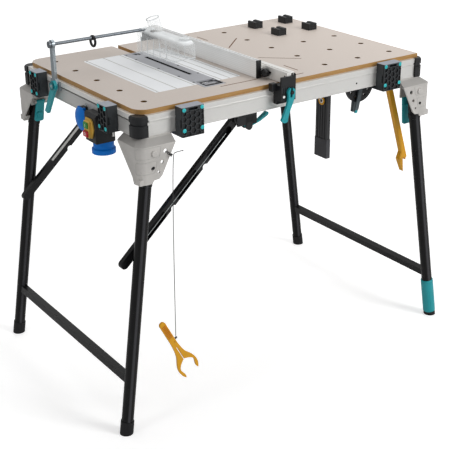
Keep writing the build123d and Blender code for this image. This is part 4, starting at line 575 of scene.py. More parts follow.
@dataclass(frozen=True)
class Palette:
    """Every finish of the table, built once."""

    board: Material
    rail_x: Material
    rail_painted_light: Material
    plate: Material
    strip: Material
    screw: Material
    cast: Material
    tube: Material
    void: Material
    black: Material
    block: Material
    rubber: Material
    teal: Material
    teal_bright: Material
    blue: Material
    ochre: Material
    yellow: Material
    green: Material
    red: Material
    clear: Material
    white: Material
    cord: Material
    rod: Material
    upright: Material
    reeded: Material
    bar: Material
    slate: Material
    deep_teal: Material
    dent_shade: Material
    umber: Material
    groove: Material
    hood_highlight: Material


def build_palette() -> Palette:
    """Build every material.

    Returns:
        The palette that all the sub-assemblies share.
    """
    low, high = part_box("table_board")
    block_low, block_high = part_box("accessory_blocks")
    flare_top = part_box("leg_bracket_front_left")[1][2]
    aluminium = linear(213, 212, 209)
    web, painted_top_reflection = linear(48, 52, 55), linear(150, 154, 163)
    levels = (block_high[2], block_low[1] + 3.0 * MM, block_low[0] + 3.0 * MM)
    printed, wood = linear(197, 186, 177), linear(172, 130, 72)
    edges = (high[2], low[2], high[0], high[1])
    flare = (flare_top - 16.0 * MM, flare_top - 0.5 * MM)
    finishes = {
        "board": LaminatedBoard("coated_board", printed, wood, *edges),
        "rail_x": BrushedMetal("rail_metal_long", aluminium, Brush.ALONG_X),
        # Cross rails: the rail aluminium with painted shade at 0.84 of its brightness, and painted
        # light above 830 mm.
        "rail_painted_light": BrushedMetal(
            "rail_metal_painted_light", shade(aluminium, 0.84), Brush.ALONG_Y, painted_light_above=830.0 * MM
        ),
        "plate": BrushedMetal("insert_metal", linear(234, 236, 238), Brush.ALONG_Y, 0.4, 0.15, 0.03),
        "strip": BrushedMetal("strip_metal", linear(164, 165, 170), Brush.ALONG_Y, 0.42, 0.3, 0.12),
        "screw": BrushedMetal("screw_metal", linear(178, 184, 184), Brush.ALONG_Z, 0.25, 0.7),
        "cast": CastMetal("cast_metal", linear(192, 189, 185), *flare),
        "tube": PowderCoat("black_coat", linear(11, 11, 12)),
        # Painted shade for the mouths of the strip.
        "void": MouldedPlastic("painted_mouth_shade", linear(10, 10, 11), 0.7, shine=0.05),
        "black": MouldedPlastic("black_plastic", linear(26, 27, 29), 0.38),
        "block": BlockPlastic("block_plastic", linear(22, 23, 27), web, painted_top_reflection, *levels),
        "rubber": MouldedPlastic("black_rubber", linear(20, 20, 22), 0.6, 600.0),
        "teal": MouldedPlastic("teal_plastic", linear(34, 148, 156), 0.36),
        "teal_bright": MouldedPlastic("teal_screw", linear(58, 194, 198), 0.36),
        "blue": MouldedPlastic("blue_plastic", linear(0, 112, 205), 0.4, shine=0.2),
        "ochre": MouldedPlastic("ochre_plastic", linear(214, 154, 24), 0.38),
        "yellow": MouldedPlastic("plate_plastic", linear(208, 170, 80), 0.32),
        "green": MouldedPlastic("green_plastic", linear(40, 132, 48), 0.3),
        "red": MouldedPlastic("red_plastic", linear(185, 32, 44), 0.3),
        "clear": ClearShell("clear_plastic", linear(246, 249, 250)),
        "white": MouldedPlastic("white_mark", linear(235, 235, 232), 0.5, tone=0.04),
        "cord": TwistedCord("braided_cord", linear(30, 30, 32)),
        "rod": BrushedMetal("rod_metal", linear(104, 110, 116), Brush.ALONG_X, 0.36, 0.5, 0.03),
        "upright": BrushedMetal(
            "upright_metal", linear(150, 160, 166), Brush.ALONG_Z, 0.3, 0.6, 0.12
        ),
        "reeded": BrushedMetal(
            "reeded_metal", linear(252, 252, 250), Brush.ALONG_Y, 0.45, 0.05, 0.04, 5.0 * MM
        ),
        "bar": SleevedBar("bar_plastic", linear(22, 22, 25), linear(50, 50, 54), 645.0 * MM),
        "slate": MouldedPlastic("slate_plastic", linear(74, 82, 86)),
        "deep_teal": MouldedPlastic("deep_teal_plastic", linear(18, 86, 94), 0.4),
        # Painted shade for the dents of the grip.
        "dent_shade": MouldedPlastic("painted_dent_shade", linear(186, 92, 12), 0.5, tone=0.1),
        "umber": MouldedPlastic("slit_shadow", linear(104, 74, 52), 0.8, shine=0.1),
        "groove": MouldedPlastic("groove_shadow", linear(176, 175, 171), 0.6, tone=0.08),
        # Painted highlights for the edges of the clear hood.
        "hood_highlight": MouldedPlastic("painted_hood_highlight", linear(222, 227, 229), 0.3, tone=0.05),
    }
    return Palette(**{name: finish.material() for name, finish in finishes.items()})


# Surfaces


def grid_faces(rows: int, columns: int, close: bool) -> np.ndarray:
    """Quads of a grid of points.

    The corners of a quad are a point, the next in its row, and the two below them. Where the grid
    closes, the last column's next column is the first.

    Args:
        rows: number of rows of points.
        columns: number of columns of points.
        close: whether each row is a ring.

    Returns:
        An array of four indices per quad.
    """
    index = np.arange(rows * columns).reshape(rows, columns)
    after = np.roll(index, -1, axis=1)
    last = columns if close else columns - 1
    quads = (index[:-1, :last], after[:-1, :last], after[1:, :last], index[1:, :last])
    return np.stack(quads, axis=-1).reshape(-1, 4)


def mesh_piece(name: str, blocks: list[Block], material: Material, sharp: float = 35.0) -> Piece:
    """Make a piece from blocks of points and faces, merged, with its faces outward.

    Args:
        name: the piece's name.
        blocks: for each block its points in metres, and the indices of each face's points in it.
        material: the finish.
        sharp: angle in degrees above which an edge stays sharp.

    Returns:
        The piece, at the origin.
    """
    points, faces = [], []
    for block, corners in blocks:
        faces += [[int(corner) + len(points) for corner in face] for face in corners]
        points += block.reshape(-1, 3).tolist()
    mesh = bpy.data.meshes.new(name)
    mesh.from_pydata(points, [], faces)
    shell = bmesh.new()
    shell.from_mesh(mesh)
    bmesh.ops.remove_doubles(shell, verts=shell.verts, dist=0.000002)
    bmesh.ops.dissolve_degenerate(shell, dist=0.000002, edges=shell.edges)
    bmesh.ops.recalc_face_normals(shell, faces=shell.faces)
    shell.to_mesh(mesh)
    shell.free()
    mesh.polygons.foreach_set("use_smooth", np.ones(len(mesh.polygons), dtype=bool))
    mesh.set_sharp_from_angle(angle=math.radians(sharp))
    mesh.materials.append(material)
    piece = bpy.data.objects.new(name, mesh)
    bpy.context.scene.collection.objects.link(piece)
    return piece


def full_turn(steps: int) -> np.ndarray:
    """Equal steps of an angle once round."""
    return np.linspace(0.0, 2.0 * np.pi, steps, endpoint=False)


def spokes(axis: Point, angle: np.ndarray) -> tuple[np.ndarray, np.ndarray]:
    """Unit vectors across an axis, one for each angle round it, and the unit vector along it."""
    along = np.array(axis, dtype=float)
    along /= np.linalg.norm(along)
    helper = np.array(ALONG_Z if abs(along[2]) < 0.9 else ALONG_X)
    first = np.cross(helper, along)
    first /= np.linalg.norm(first)
    second = np.cross(along, first)
    return np.cos(angle)[..., None] * first + np.sin(angle)[..., None] * second, along


def turned(name: str, profile: np.ndarray, base: Point, axis: Point, material: Material) -> Piece:
    """A turned piece: each point of the profile is swept round the axis.

    Args:
        name: the piece's name.
        profile: rows of radius and height, from one pole or rim to the other.
        base: point on the axis where the height is zero.
        axis: the direction of height.
        material: the finish.

    Returns:
        The piece.
    """
    angle = full_turn(40)
    around, along = spokes(axis, angle)
    radius, height = profile[:, 0, None, None], profile[:, 1, None, None]
    points = np.array(base) + radius * around + height * along
    return mesh_piece(name, [(points, grid_faces(len(profile), len(angle), True))], material)


def ring_profile(inner: float, outer: float, low: float, high: float) -> np.ndarray:
    """Closed profile of a square-edged ring, from its radii and heights in millimetres."""
    return np.array(((inner, low), (inner, high), (outer, high), (outer, low), (inner, low))) * MM


def disc(name: str, centre: Point, side: Side, size: Point, material: Material) -> Piece:
    """A flat disc or ring that stands a little proud of a face.

    The profile is a rectangle from the inner to the outer radius with its outer edge rounded off.

    Args:
        name: the piece's name.
        centre: middle of the seat.
        side: the way that the disc looks.
        size: inner radius, outer radius and height in millimetres; with an inner radius of zero the
            disc is full.
        material: the finish.

    Returns:
        The piece.
    """
    soft_share = 0.4
    inner, outer, height = mm(*size)
    soft = min(height, outer - inner) * soft_share
    rounded = ((outer - soft, height), (outer, height - soft))
    profile = ((inner, -height), (inner, height), *rounded, (outer, -height), (inner, -height))
    return turned(name, np.array(profile), centre, side.value, material)


def screws(name: str, centres: list[Point], side: Side, head: Head, material: Material) -> Piece:
    """A set of equal screw heads as one piece.

    The head is a low dome: its height falls with the cube of the radius. The recess takes away a
    depth that fades from the middle outward, sooner between the lobes of the drive.

    Args:
        name: the piece's name.
        centres: middle of each head's seat.
        side: the way that the heads look.
        head: size and recess of a head.
        material: the finish.

    Returns:
        The piece.
    """
    radius, height = mm(*head.value[:2])
    count, sharpness = head.value[2].value
    dome_share, recess_share, reach_share, lobe_share, steepness = 0.75, 0.8, 0.52, 0.42, 60.0
    ring_shares = np.concatenate((np.linspace(0.0, 0.72, 10), (0.8, 0.9, 0.97, 1.0, 1.0)))
    angle = full_turn(24)
    ring, turn = np.meshgrid(ring_shares, angle, indexing="ij")
    lobes = np.abs(np.sin(count * turn / 2.0)) ** (1.0 / (1.0 + sharpness))
    reach = reach_share * (1.0 - lobe_share * lobes)
    recess = 1.0 / (1.0 + np.exp((ring - reach) * steepness))
    rise = height * (1.0 - dome_share * ring**3) - recess_share * height * recess
    rise[-1, :] = 0.0
    around, along = spokes(side.value, turn)
    spread, lift = radius * ring[..., None] * around, rise[..., None] * along
    foot = range(ring.size - 1, ring.size - len(angle) - 1, -1)
    faces = [*grid_faces(*ring.shape, True), foot]
    return mesh_piece(name, [(np.array(centre) + spread + lift, faces) for centre in centres], material)


def slab(name: str, low: Point, high: Point, radius: float, material: Material) -> Piece:
    """A block with rounded edges.

    Points of a cube's grid are drawn in to an inner box, and each is pushed out from it by the
    radius along the line between them.

    Args:
        name: the piece's name.
        low: lowest corner.
        high: highest corner.
        radius: radius of the edges.
        material: the finish.

    Returns:
        The piece.
    """
    inner_low, inner_high = np.array(low) + radius, np.array(high) - radius
    flat = 0.38
    steps = np.array((-1.0, -0.92, -0.7, -flat, flat, 0.7, 0.92, 1.0))
    first, second = np.meshgrid(steps, steps, indexing="ij")
    blocks = []
    for axis, sign in ((axis, sign) for axis in range(3) for sign in (-1.0, 1.0)):
        cube = np.empty((*first.shape, 3))
        cube[..., axis] = sign
        cube[..., (axis + 1) % 3] = first
        cube[..., (axis + 2) % 3] = second
        core = np.where(cube >= flat, inner_high, inner_low)
        lean = np.sign(cube) * np.clip((np.abs(cube) - flat) / (1.0 - flat), 0.0, 1.0)
        lean /= np.linalg.norm(lean, axis=-1, keepdims=True)
        blocks.append((core + radius * lean, grid_faces(*first.shape, False)))
    return mesh_piece(name, blocks, material)


def straps(name: str, ends: list[Line], across: Point, size: Pair, material: Material) -> Piece:
    """Flat bars between pairs of points, as one piece.

    Each corner is an end plus or minus the half width along the given direction and the half depth
    along the direction at right angles to it and to the bar.

    Args:
        name: the piece's name.
        ends: start and end of each bar.
        across: direction of the width.
        size: half the width and half the depth in millimetres.
        material: the finish.

    Returns:
        The piece.
    """
    signs = np.array(((-1, -1), (1, -1), (1, 1), (-1, 1)), dtype=float)
    quads = ((0, 1, 2, 3), (4, 5, 6, 7), (0, 1, 5, 4), (1, 2, 6, 5), (2, 3, 7, 6), (3, 0, 4, 7))
    wide = np.array(across) / np.linalg.norm(across)
    half_width, half_depth = mm(*size)
    blocks = []
    for start, end in ends:
        along = np.array(end) - np.array(start)
        deep = np.cross(along, wide)
        deep /= np.linalg.norm(deep)
        corner = signs[:, :1] * half_width * wide + signs[:, 1:] * half_depth * deep
        blocks.append((np.concatenate((np.array(start) + corner, np.array(end) + corner)), quads))
    return mesh_piece(name, blocks, material)


def wires(name: str, strands: list[tuple[np.ndarray, float]], material: Material) -> Piece:
    """Round wires along several paths, as one piece.

    A ring of points stands across each path's direction at each of its points. A path that ends
    where it starts becomes a closed loop, and any other wire shrinks to a pole at both ends.

    Args:
        name: the piece's name.
        strands: for each wire its path and its radius.
        material: the finish.

    Returns:
        The piece.
    """
    angle = full_turn(10)
    helper = np.array((0.31, 0.87, 0.38))
    blocks = []
    for path, radius in strands:
        loop = bool(np.allclose(path[0], path[-1]))
        if loop:
            path = path[:-1]
            along = np.roll(path, -1, axis=0) - np.roll(path, 1, axis=0)
        else:
            path = np.concatenate((path[:1], path, path[-1:]))
            along = np.gradient(path, axis=0)
            along[0], along[-1] = along[1], along[-2]
        along /= np.linalg.norm(along, axis=1, keepdims=True)
        first = np.cross(along, helper)
        first /= np.linalg.norm(first, axis=1, keepdims=True)
        second = np.cross(along, first)
        scale = np.full((len(path), 1, 1), radius)
        if not loop:
            scale[0] = scale[-1] = 0.0
        ring = np.cos(angle)[None, :, None] * first[:, None, :]
        ring = ring + np.sin(angle)[None, :, None] * second[:, None, :]
        rings = path[:, None, :] + scale * ring
        if loop:
            rings = np.concatenate((rings, rings[:1]))
        blocks.append((rings, grid_faces(*rings.shape[:2], True)))
    return mesh_piece(name, blocks, material, 80.0)


def rim_faces(rows: int, columns: int) -> np.ndarray:
    """Quads that join the border of one grid to that of a second one whose points come after it."""
    index = np.arange(rows * columns).reshape(rows, columns)
    border = np.concatenate((index[0, :-1], index[:-1, -1], index[-1, :0:-1], index[:0:-1, 0]))
    after = np.roll(border, -1)
    return np.stack((border, border + index.size, after + index.size, after), axis=-1)


def trefoil(centre: np.ndarray, size: float) -> np.ndarray:
    """Closed knot path: a circle plus a circle of twice the turn, with a wave across them."""
    turn, wave_share = np.linspace(0.0, 2.0 * np.pi, 72), 1.1
    sideways = np.sin(turn) + wave_share * np.sin(2.0 * turn)
    upward = np.cos(turn) - wave_share * np.cos(2.0 * turn)
    return centre + size * np.stack((sideways, -wave_share * np.sin(3.0 * turn), upward), axis=-1)


def bow(start: np.ndarray, end: np.ndarray, sag: float) -> np.ndarray:
    """Path between two points that bows sideways by a sine of its length."""
    share, sideways = np.linspace(0.0, 1.0, 17)[:, None], np.array((0.3, 0.0, 0.95))
    return start + share * (end - start) + np.sin(share * np.pi) * sag * sideways


def soften(corners: np.ndarray) -> np.ndarray:
    """Closed path through corners whose turns are rounded.

    Each side is cut into equal steps, and each point is the mean of its neighbours on both sides.

    Args:
        corners: one row of two values per corner.

    Returns:
        The path, whose last point is its first.
    """
    steps, reach = 24, 3
    share = np.linspace(0.0, 1.0, steps, endpoint=False)[None, :, None]
    after = np.roll(corners, -1, axis=0)
    path = (corners[:, None, :] * (1.0 - share) + after[:, None, :] * share).reshape(-1, 2)
    path = np.mean([np.roll(path, shift, axis=0) for shift in range(-reach, reach + 1)], axis=0)
    return np.concatenate((path, path[:1]))


# Finishing and placing


def four(stem: str) -> list[str]:
    """Names of the four nodes of one kind, one at each corner of the table."""
    return [f"{stem}_{end}_{side}" for end in ("front", "back") for side in ("left", "right")]


def dress(material: Material, *nodes: str) -> None:
    """Give a finish to CAD nodes.

    Args:
        material: the finish.
        nodes: the names of the nodes.
    """
    for name in nodes:
        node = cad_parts[name]
        if not node.material_slots:
            node.data.materials.append(material)
        for entry in node.material_slots:
            entry.material = material
        LOG.info("dressed %s in %s", name, material.name)


def place_on(body: str, slot: str, *pieces: Piece) -> None:
    """Let pieces ride on a body.

    Args:
        body: the body's name.
        slot: the material slot's name; not used.
        pieces: the pieces.
    """
    for piece in pieces:
        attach(piece, body)
        LOG.info("placed %s on %s", piece.name, body)


# Sub-assemblies


@dataclass(frozen=True)
class Lamp:
    """Soft box: where it hangs, what it looks at, its width and height, and its power in watts."""

    name: str
    place: Point
    aim: Point
    size: Pair
    power: float

    def hang(self) -> None:
        """Hang the lamp."""
        data = bpy.data.lights.new(self.name, "AREA")
        data.shape = "RECTANGLE"
        data.size, data.size_y = self.size
        data.energy = self.power
        lamp = bpy.data.objects.new(self.name, data)
        lamp.location = self.place
        direction = Vector(self.aim) - Vector(self.place)
        lamp.rotation_euler = direction.to_track_quat("-Z", "Y").to_euler()
        bpy.context.scene.collection.objects.link(lamp)


@dataclass
class Studio:
    """Camera, floor, soft lamps and the pale room round the table."""

    camera_place: Point = (-1.63259, -2.34486, 1.58511)
    azimuth: float = 34.67
    elevation: float = 23.64
    roll: float = -0.73
    lens: float = 82.24
    sensor: float = 36.0
    shift: float = 0.0053
    view_end: float = 60.0
    floor_half: float = 9.0
    near: float = 1.1
    far: float = 3.6
    floor_glow: Pair = (0.46, 0.8)
    room_light: float = 0.36
    room_gloss: float = 0.55
    lamps: tuple[Lamp, ...] = (
        Lamp("key_lamp", (1.6, -3.2, 2.5), (0.1, 0.0, 0.6), (1.2, 2.4), 84.0),
        Lamp("side_lamp", (-3.4, -0.6, 1.8), (0.0, 0.0, 0.5), (0.7, 2.4), 14.0),
        Lamp("top_lamp", (0.8, 1.2, 3.6), (0.1, 0.0, 0.8), (3.0, 3.0), 46.0),
    )

    def build(self) -> None:
        """Make everything round the object."""
        self.camera()
        self.floor()
        for lamp in self.lamps:
            lamp.hang()
        self.room()

    def camera(self) -> None:
        """Stand the camera where the photograph was taken from."""
        turn, drop = math.radians(self.azimuth), math.radians(self.elevation)
        forward = Vector(
            (math.sin(turn) * math.cos(drop), math.cos(turn) * math.cos(drop), -math.sin(drop))
        )
        right = Vector((math.cos(turn), -math.sin(turn), 0.0))
        up = right.cross(forward)
        lean = Matrix.Rotation(math.radians(self.roll), 3, -forward)
        right, up = lean @ right, lean @ up
        data = bpy.data.cameras.new("camera")
        data.lens = self.lens
        data.sensor_width = self.sensor
        data.shift_x = self.shift
        data.clip_end = self.view_end
        camera = bpy.data.objects.new("camera", data)
        basis = Matrix((right, up, -forward)).transposed().to_4x4()
        camera.matrix_world = Matrix.Translation(Vector(self.camera_place)) @ basis
        bpy.context.scene.collection.objects.link(camera)
        bpy.context.scene.camera = camera

    def floor(self) -> None:
        """Lay a pale floor that keeps the table's soft shadow and glows more with distance."""
        recipe = Recipe("pale_floor", 0.85)
        tones = recipe.mix(recipe.noise(0.8, 2.0), (0.8, 0.8, 0.8), (0.83, 0.83, 0.83))
        recipe.surface("Base Color", tones)
        distance = recipe.node("ShaderNodeVectorMath", {0: recipe.place()}, operation="LENGTH")
        glow = recipe.window(distance.outputs["Value"], self.near, self.far, *self.floor_glow)
        recipe.surface("Emission Color", (1.0, 1.0, 1.0, 1.0))
        recipe.surface("Emission Strength", recipe.maths("MULTIPLY", recipe.seen(), glow))
        signs = ((-1.0, -1.0), (1.0, -1.0), (1.0, 1.0), (-1.0, 1.0))
        corners = np.array([(x * self.floor_half, y * self.floor_half, 0.0) for x, y in signs])
        floor = mesh_piece("floor", [(corners, [(0, 1, 2, 3)])], recipe.material)

    def room(self) -> None:
        """Light the room evenly and show it white to the camera and in reflections."""
        world = bpy.data.worlds.new("pale_room")
        bpy.context.scene.world = world
        world.use_nodes = True
        nodes = Nodes(world.node_tree)
        background = nodes.tree.nodes["Background"].inputs
        background["Color"].default_value = (1.0, 1.0, 1.0, 1.0)
        shown = nodes.window(nodes.seen(), 0.0, 1.0, self.room_light, 1.0)
        glossy = nodes.node("ShaderNodeLightPath").outputs["Is Glossy Ray"]
        gloss = nodes.maths("MULTIPLY", glossy, self.room_gloss)
        nodes.feed(background["Strength"], nodes.maths("MAXIMUM", shown, gloss))


@dataclass
class HangingTool:
    """The fork on its cord: the cord's route, its knots and the ribbed grip."""

    route: tuple[Point, ...] = (
        (-0.40746, -0.353, 0.24467),
        (-0.3985, -0.345, 0.7445),
        (-0.3800, -0.345, 0.7500),
        (-0.3645, -0.345, 0.7486),
    )
    cord_radius: float = 1.0 * MM
    cord_length: float = 0.5314
    hole: Point = (-0.4072, -0.3400, 0.7532)
    hole_depth: float = 6.0 * MM
    eye: Point = (-0.4115, -0.3530, 0.2400)
    knot_sizes: Point = mm(1.5, 1.3, 0.55)
    sags: Point = mm(1.8, -1.8, 1.2)
    strand_radii: tuple[float, ...] = mm(1.5, 1.2, 1.3, 1.3, 1.1, 0.8)
    grip_start: Point = (-0.447, -0.356, 0.294)
    grip_slant: float = 63.0
    grip_half_width: float = 7.6 * MM
    grip_length: float = 50.0 * MM
    grip_rise: float = 0.9 * MM
    grip_depth: float = 0.4 * MM
    grip_steps: tuple[int, int] = (121, 31)
    rib_waves: float = 10.0
    column_waves: float = 1.5
    rib_power: float = 0.6
    border_slopes: Pair = (8.0, 12.0)
    dent_row_shares: tuple[float, ...] = tuple(np.linspace(0.1, 0.94, 9))
    dent_column_shares: tuple[float, ...] = (-0.66, -0.22, 0.22, 0.66)
    dent_level_share: float = 0.95
    dent_size: Pair = (1.25, 0.25)

    def build(self, palette: Palette) -> None:
        """Make the cord, the knots and the grip.

        Args:
            palette: the table's finishes.
        """
        cord = self.cord(palette)
        knots = self.knots(palette)
        place_on("table", "cord", cord, knots)
        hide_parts("cord")
        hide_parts("cord_knots")
        place_on("table", "ochre_plastic", self.grip(palette), self.dents(palette))
        dress(palette.ochre, "fork")

    def cord(self, palette: Palette) -> Piece:
        """The cord as one smooth curve through its route."""
        curve = bpy.data.curves.new("tool_cord", "CURVE")
        curve.dimensions = "3D"
        curve.bevel_depth = self.cord_radius
        curve.bevel_resolution = 4
        curve.use_fill_caps = True
        spline = curve.splines.new("NURBS")
        spline.points.add(len(self.route) - 1)
        for point, place in zip(spline.points, self.route):
            point.co = (*place, 1.0)
        spline.order_u = 3
        spline.use_endpoint_u = True
        spline.resolution_u = 24
        curve.materials.append(palette.cord)
        piece = bpy.data.objects.new("tool_cord", curve)
        bpy.context.scene.collection.objects.link(piece)
        return piece

    def knots(self, palette: Palette) -> Piece:
        """Overhand knots: a strand carried along a trefoil path at each end, and the loop at the top.

        A trefoil's point at an angle is the sum of a circle and a circle of twice the turn, and the
        strand is a tube round that path.
        """
        bottom, top, _, tail = (np.array(point) for point in self.route)
        hole, eye = np.array(self.hole), np.array(self.eye)
        behind = hole + np.array((0.0, self.hole_depth, 0.0))
        upper_size, lower_size, tail_size = self.knot_sizes
        ahead_sag, behind_sag, eye_sag = self.sags
        paths = (
            trefoil(top, upper_size),
            trefoil(bottom, lower_size),
            bow(top, hole, ahead_sag),
            bow(behind, top, behind_sag),
            bow(bottom, eye, eye_sag),
            trefoil(tail, tail_size),
        )
        return wires("cord_knotting", list(zip(paths, self.strand_radii)), palette.cord)

    def slant(self) -> tuple[np.ndarray, np.ndarray]:
        """Unit vectors along the handle and across it."""
        turn = math.radians(self.grip_slant)
        sine, cosine = math.sin(turn), math.cos(turn)
        return np.array((cosine, 0.0, -sine)), np.array((sine, 0.0, cosine))

    def grip(self, palette: Palette) -> Piece:
        """Ribbed grip on the handle.

        The height over the handle is the product of two sine waves, one for the rows of ribs and one
        for the columns, and it fades to nothing at the border.
        """
        along, across = self.grip_steps
        along, across = np.linspace(0.0, 1.0, along), np.linspace(-1.0, 1.0, across)
        run, side = np.meshgrid(along, across, indexing="ij")
        rows = np.abs(np.sin(run * np.pi * self.rib_waves)) ** self.rib_power
        columns = np.abs(np.sin((side + 1.0) * np.pi * self.column_waves)) ** self.rib_power
        beside, ahead = self.border_slopes
        border = np.clip((1.0 - np.abs(side)) * beside, 0.0, 1.0)
        border *= np.clip(run * ahead, 0.0, 1.0) * np.clip((1.0 - run) * ahead, 0.0, 1.0)
        rise = self.grip_rise * rows * columns * border
        axis, width = self.slant()
        front = np.array(Side.FRONT.value)
        surface = (
            np.array(self.grip_start)
            + (run * self.grip_length)[..., None] * axis
            + (side * self.grip_half_width)[..., None] * width
            + rise[..., None] * front
        )
        floor = surface - (rise + self.grip_depth)[..., None] * front
        top_faces = grid_faces(*run.shape, False)
        faces = (top_faces, top_faces[:, ::-1] + run.size, rim_faces(*run.shape))
        block = (np.concatenate((surface, floor)), np.concatenate(faces))
        return mesh_piece("tool_grip", [block], palette.ochre, 60.0)

    def dents(self, palette: Palette) -> Piece:
        """Painted shade in the dents between the ribs of the grip: a short dark strap in each cell of a
        grid.
        """
        axis, width = self.slant()
        front = np.array((0.0, -self.grip_rise * self.dent_level_share, 0.0))
        half = self.dent_size[0] * MM * axis
        ends = []
        for row in self.dent_row_shares:
            middle = np.array(self.grip_start) + row * self.grip_length * axis + front
            for column in self.dent_column_shares:
                centre = middle + column * self.grip_half_width * width
                ends.append((centre - half, centre + half))
        return straps("tool_dents", ends, tuple(width), self.dent_size, palette.dent_shade)


@dataclass
class TableTop:
    """The coated board with its dogs, the saw insert and its screws. Lengths are in millimetres.

    A long mouth is given by its x, its front and back end and its half width, a cross mouth by its
    y and its left and right end, and a slit by the x and y of both ends.
    """

    top: float = 855.0
    left_column: float = -215.0
    left_rows: tuple[float, ...] = (176.0, 122.0, 2.0, -99.5, -171.0)
    right_column: float = -155.0
    right_rows: tuple[float, ...] = (-3.0, -102.0, -173.0)
    corner_screws: Rows = ((-336.0, 186.0), (-336.0, -186.0), (-88.0, 186.0), (-88.0, -186.0))
    long_mouths: Rows = (
        (-178.0, -101.0, 130.0, 4.6),
        (-186.0, 166.0, 180.0, 3.2),
        (-177.5, 163.0, 176.0, 3.2),
        (-206.0, -218.0, -190.0, 2.2),
        (-157.5, -218.0, -184.0, 2.6),
    )
    cross_mouths: Rows = ((-185.5, -205.0, -163.0), (-217.5, -207.3, -155.7))
    cross_half: float = 2.7
    mouth_rise: float = 0.15
    slit_size: Pair = (0.08, 1.8)
    groove_size: Pair = (1.5, 0.06)
    groove_rise: float = 0.05
    slits: Rows = (
        (-181.0, -246.0, -65.0, -246.0),
        (37.0, -273.0, 68.0, -273.0),
        (42.0, 277.0, 63.0, 277.0),
        (75.0, -181.0, 75.0, -240.0),
        (72.0, 187.0, 72.0, 243.0),
        (71.0, -69.0, 159.0, -151.0),
        (71.0, 74.0, 157.0, 156.0),
    )
    groove_end: float = 193.0
    groove_columns: tuple[float, ...] = (-334.5, -280.75, -227.0, -142.0, -115.75, -89.5)

    def build(self, palette: Palette) -> None:
        """Dress the top and add its screws, and painted shade in its mouths, grooves and slits."""
        dress(palette.board, "table_board")
        dress(palette.plate, "insert_plates")
        dress(palette.strip, "saw_strip")
        dress(palette.rail_painted_light, "insert_bearers")
        dress(palette.black, "bench_dogs")
        strip = [mm(self.left_column, row, self.top) for row in self.left_rows]
        strip += [mm(self.right_column, row, self.top) for row in self.right_rows]
        heads = screws("strip_screws", strip, Side.UP, Head.STRIP, palette.tube)
        place_on("table", "black_metal", heads, *self.mouths(palette))
        place_on("table", "aluminium", self.grooves(palette))
        slits = [(mm(*row[:2], self.top), mm(*row[2:], self.top)) for row in self.slits]
        shadow = straps("board_slits", slits, ALONG_Z, self.slit_size, palette.umber)
        place_on("table", "board", shadow)
        corners = [mm(*place, self.top) for place in self.corner_screws]
        heads = screws("insert_screws", corners, Side.UP, Head.INSERT, palette.screw)
        place_on("table", "steel", heads)

    def mouths(self, palette: Palette) -> list[Piece]:
        """Painted shade in the strip's mouths: dark straps over the blade slot, two short slots behind
        it and the window's rim.
        """
        rise, level, void = self.mouth_rise, self.top + self.mouth_rise, palette.void
        pieces = []
        for number, (x, front, back, half) in enumerate(self.long_mouths):
            ends = [(mm(x, front, level), mm(x, back, level))]
            pieces.append(straps(f"mouth_{number}", ends, ALONG_X, (half, rise), void))
        ends = [(mm(left, y, level), mm(right, y, level)) for y, left, right in self.cross_mouths]
        pieces.append(straps("window_mouths", ends, ALONG_Y, (self.cross_half, rise), void))
        return pieces

    def grooves(self, palette: Palette) -> Piece:
        """Shadow in the long grooves of the two plates beside the strip."""
        row, level = self.groove_end, self.top + self.groove_rise
        ends = [(mm(x, -row, level), mm(x, row, level)) for x in self.groove_columns]
        return straps("plate_grooves", ends, ALONG_X, self.groove_size, palette.groove)


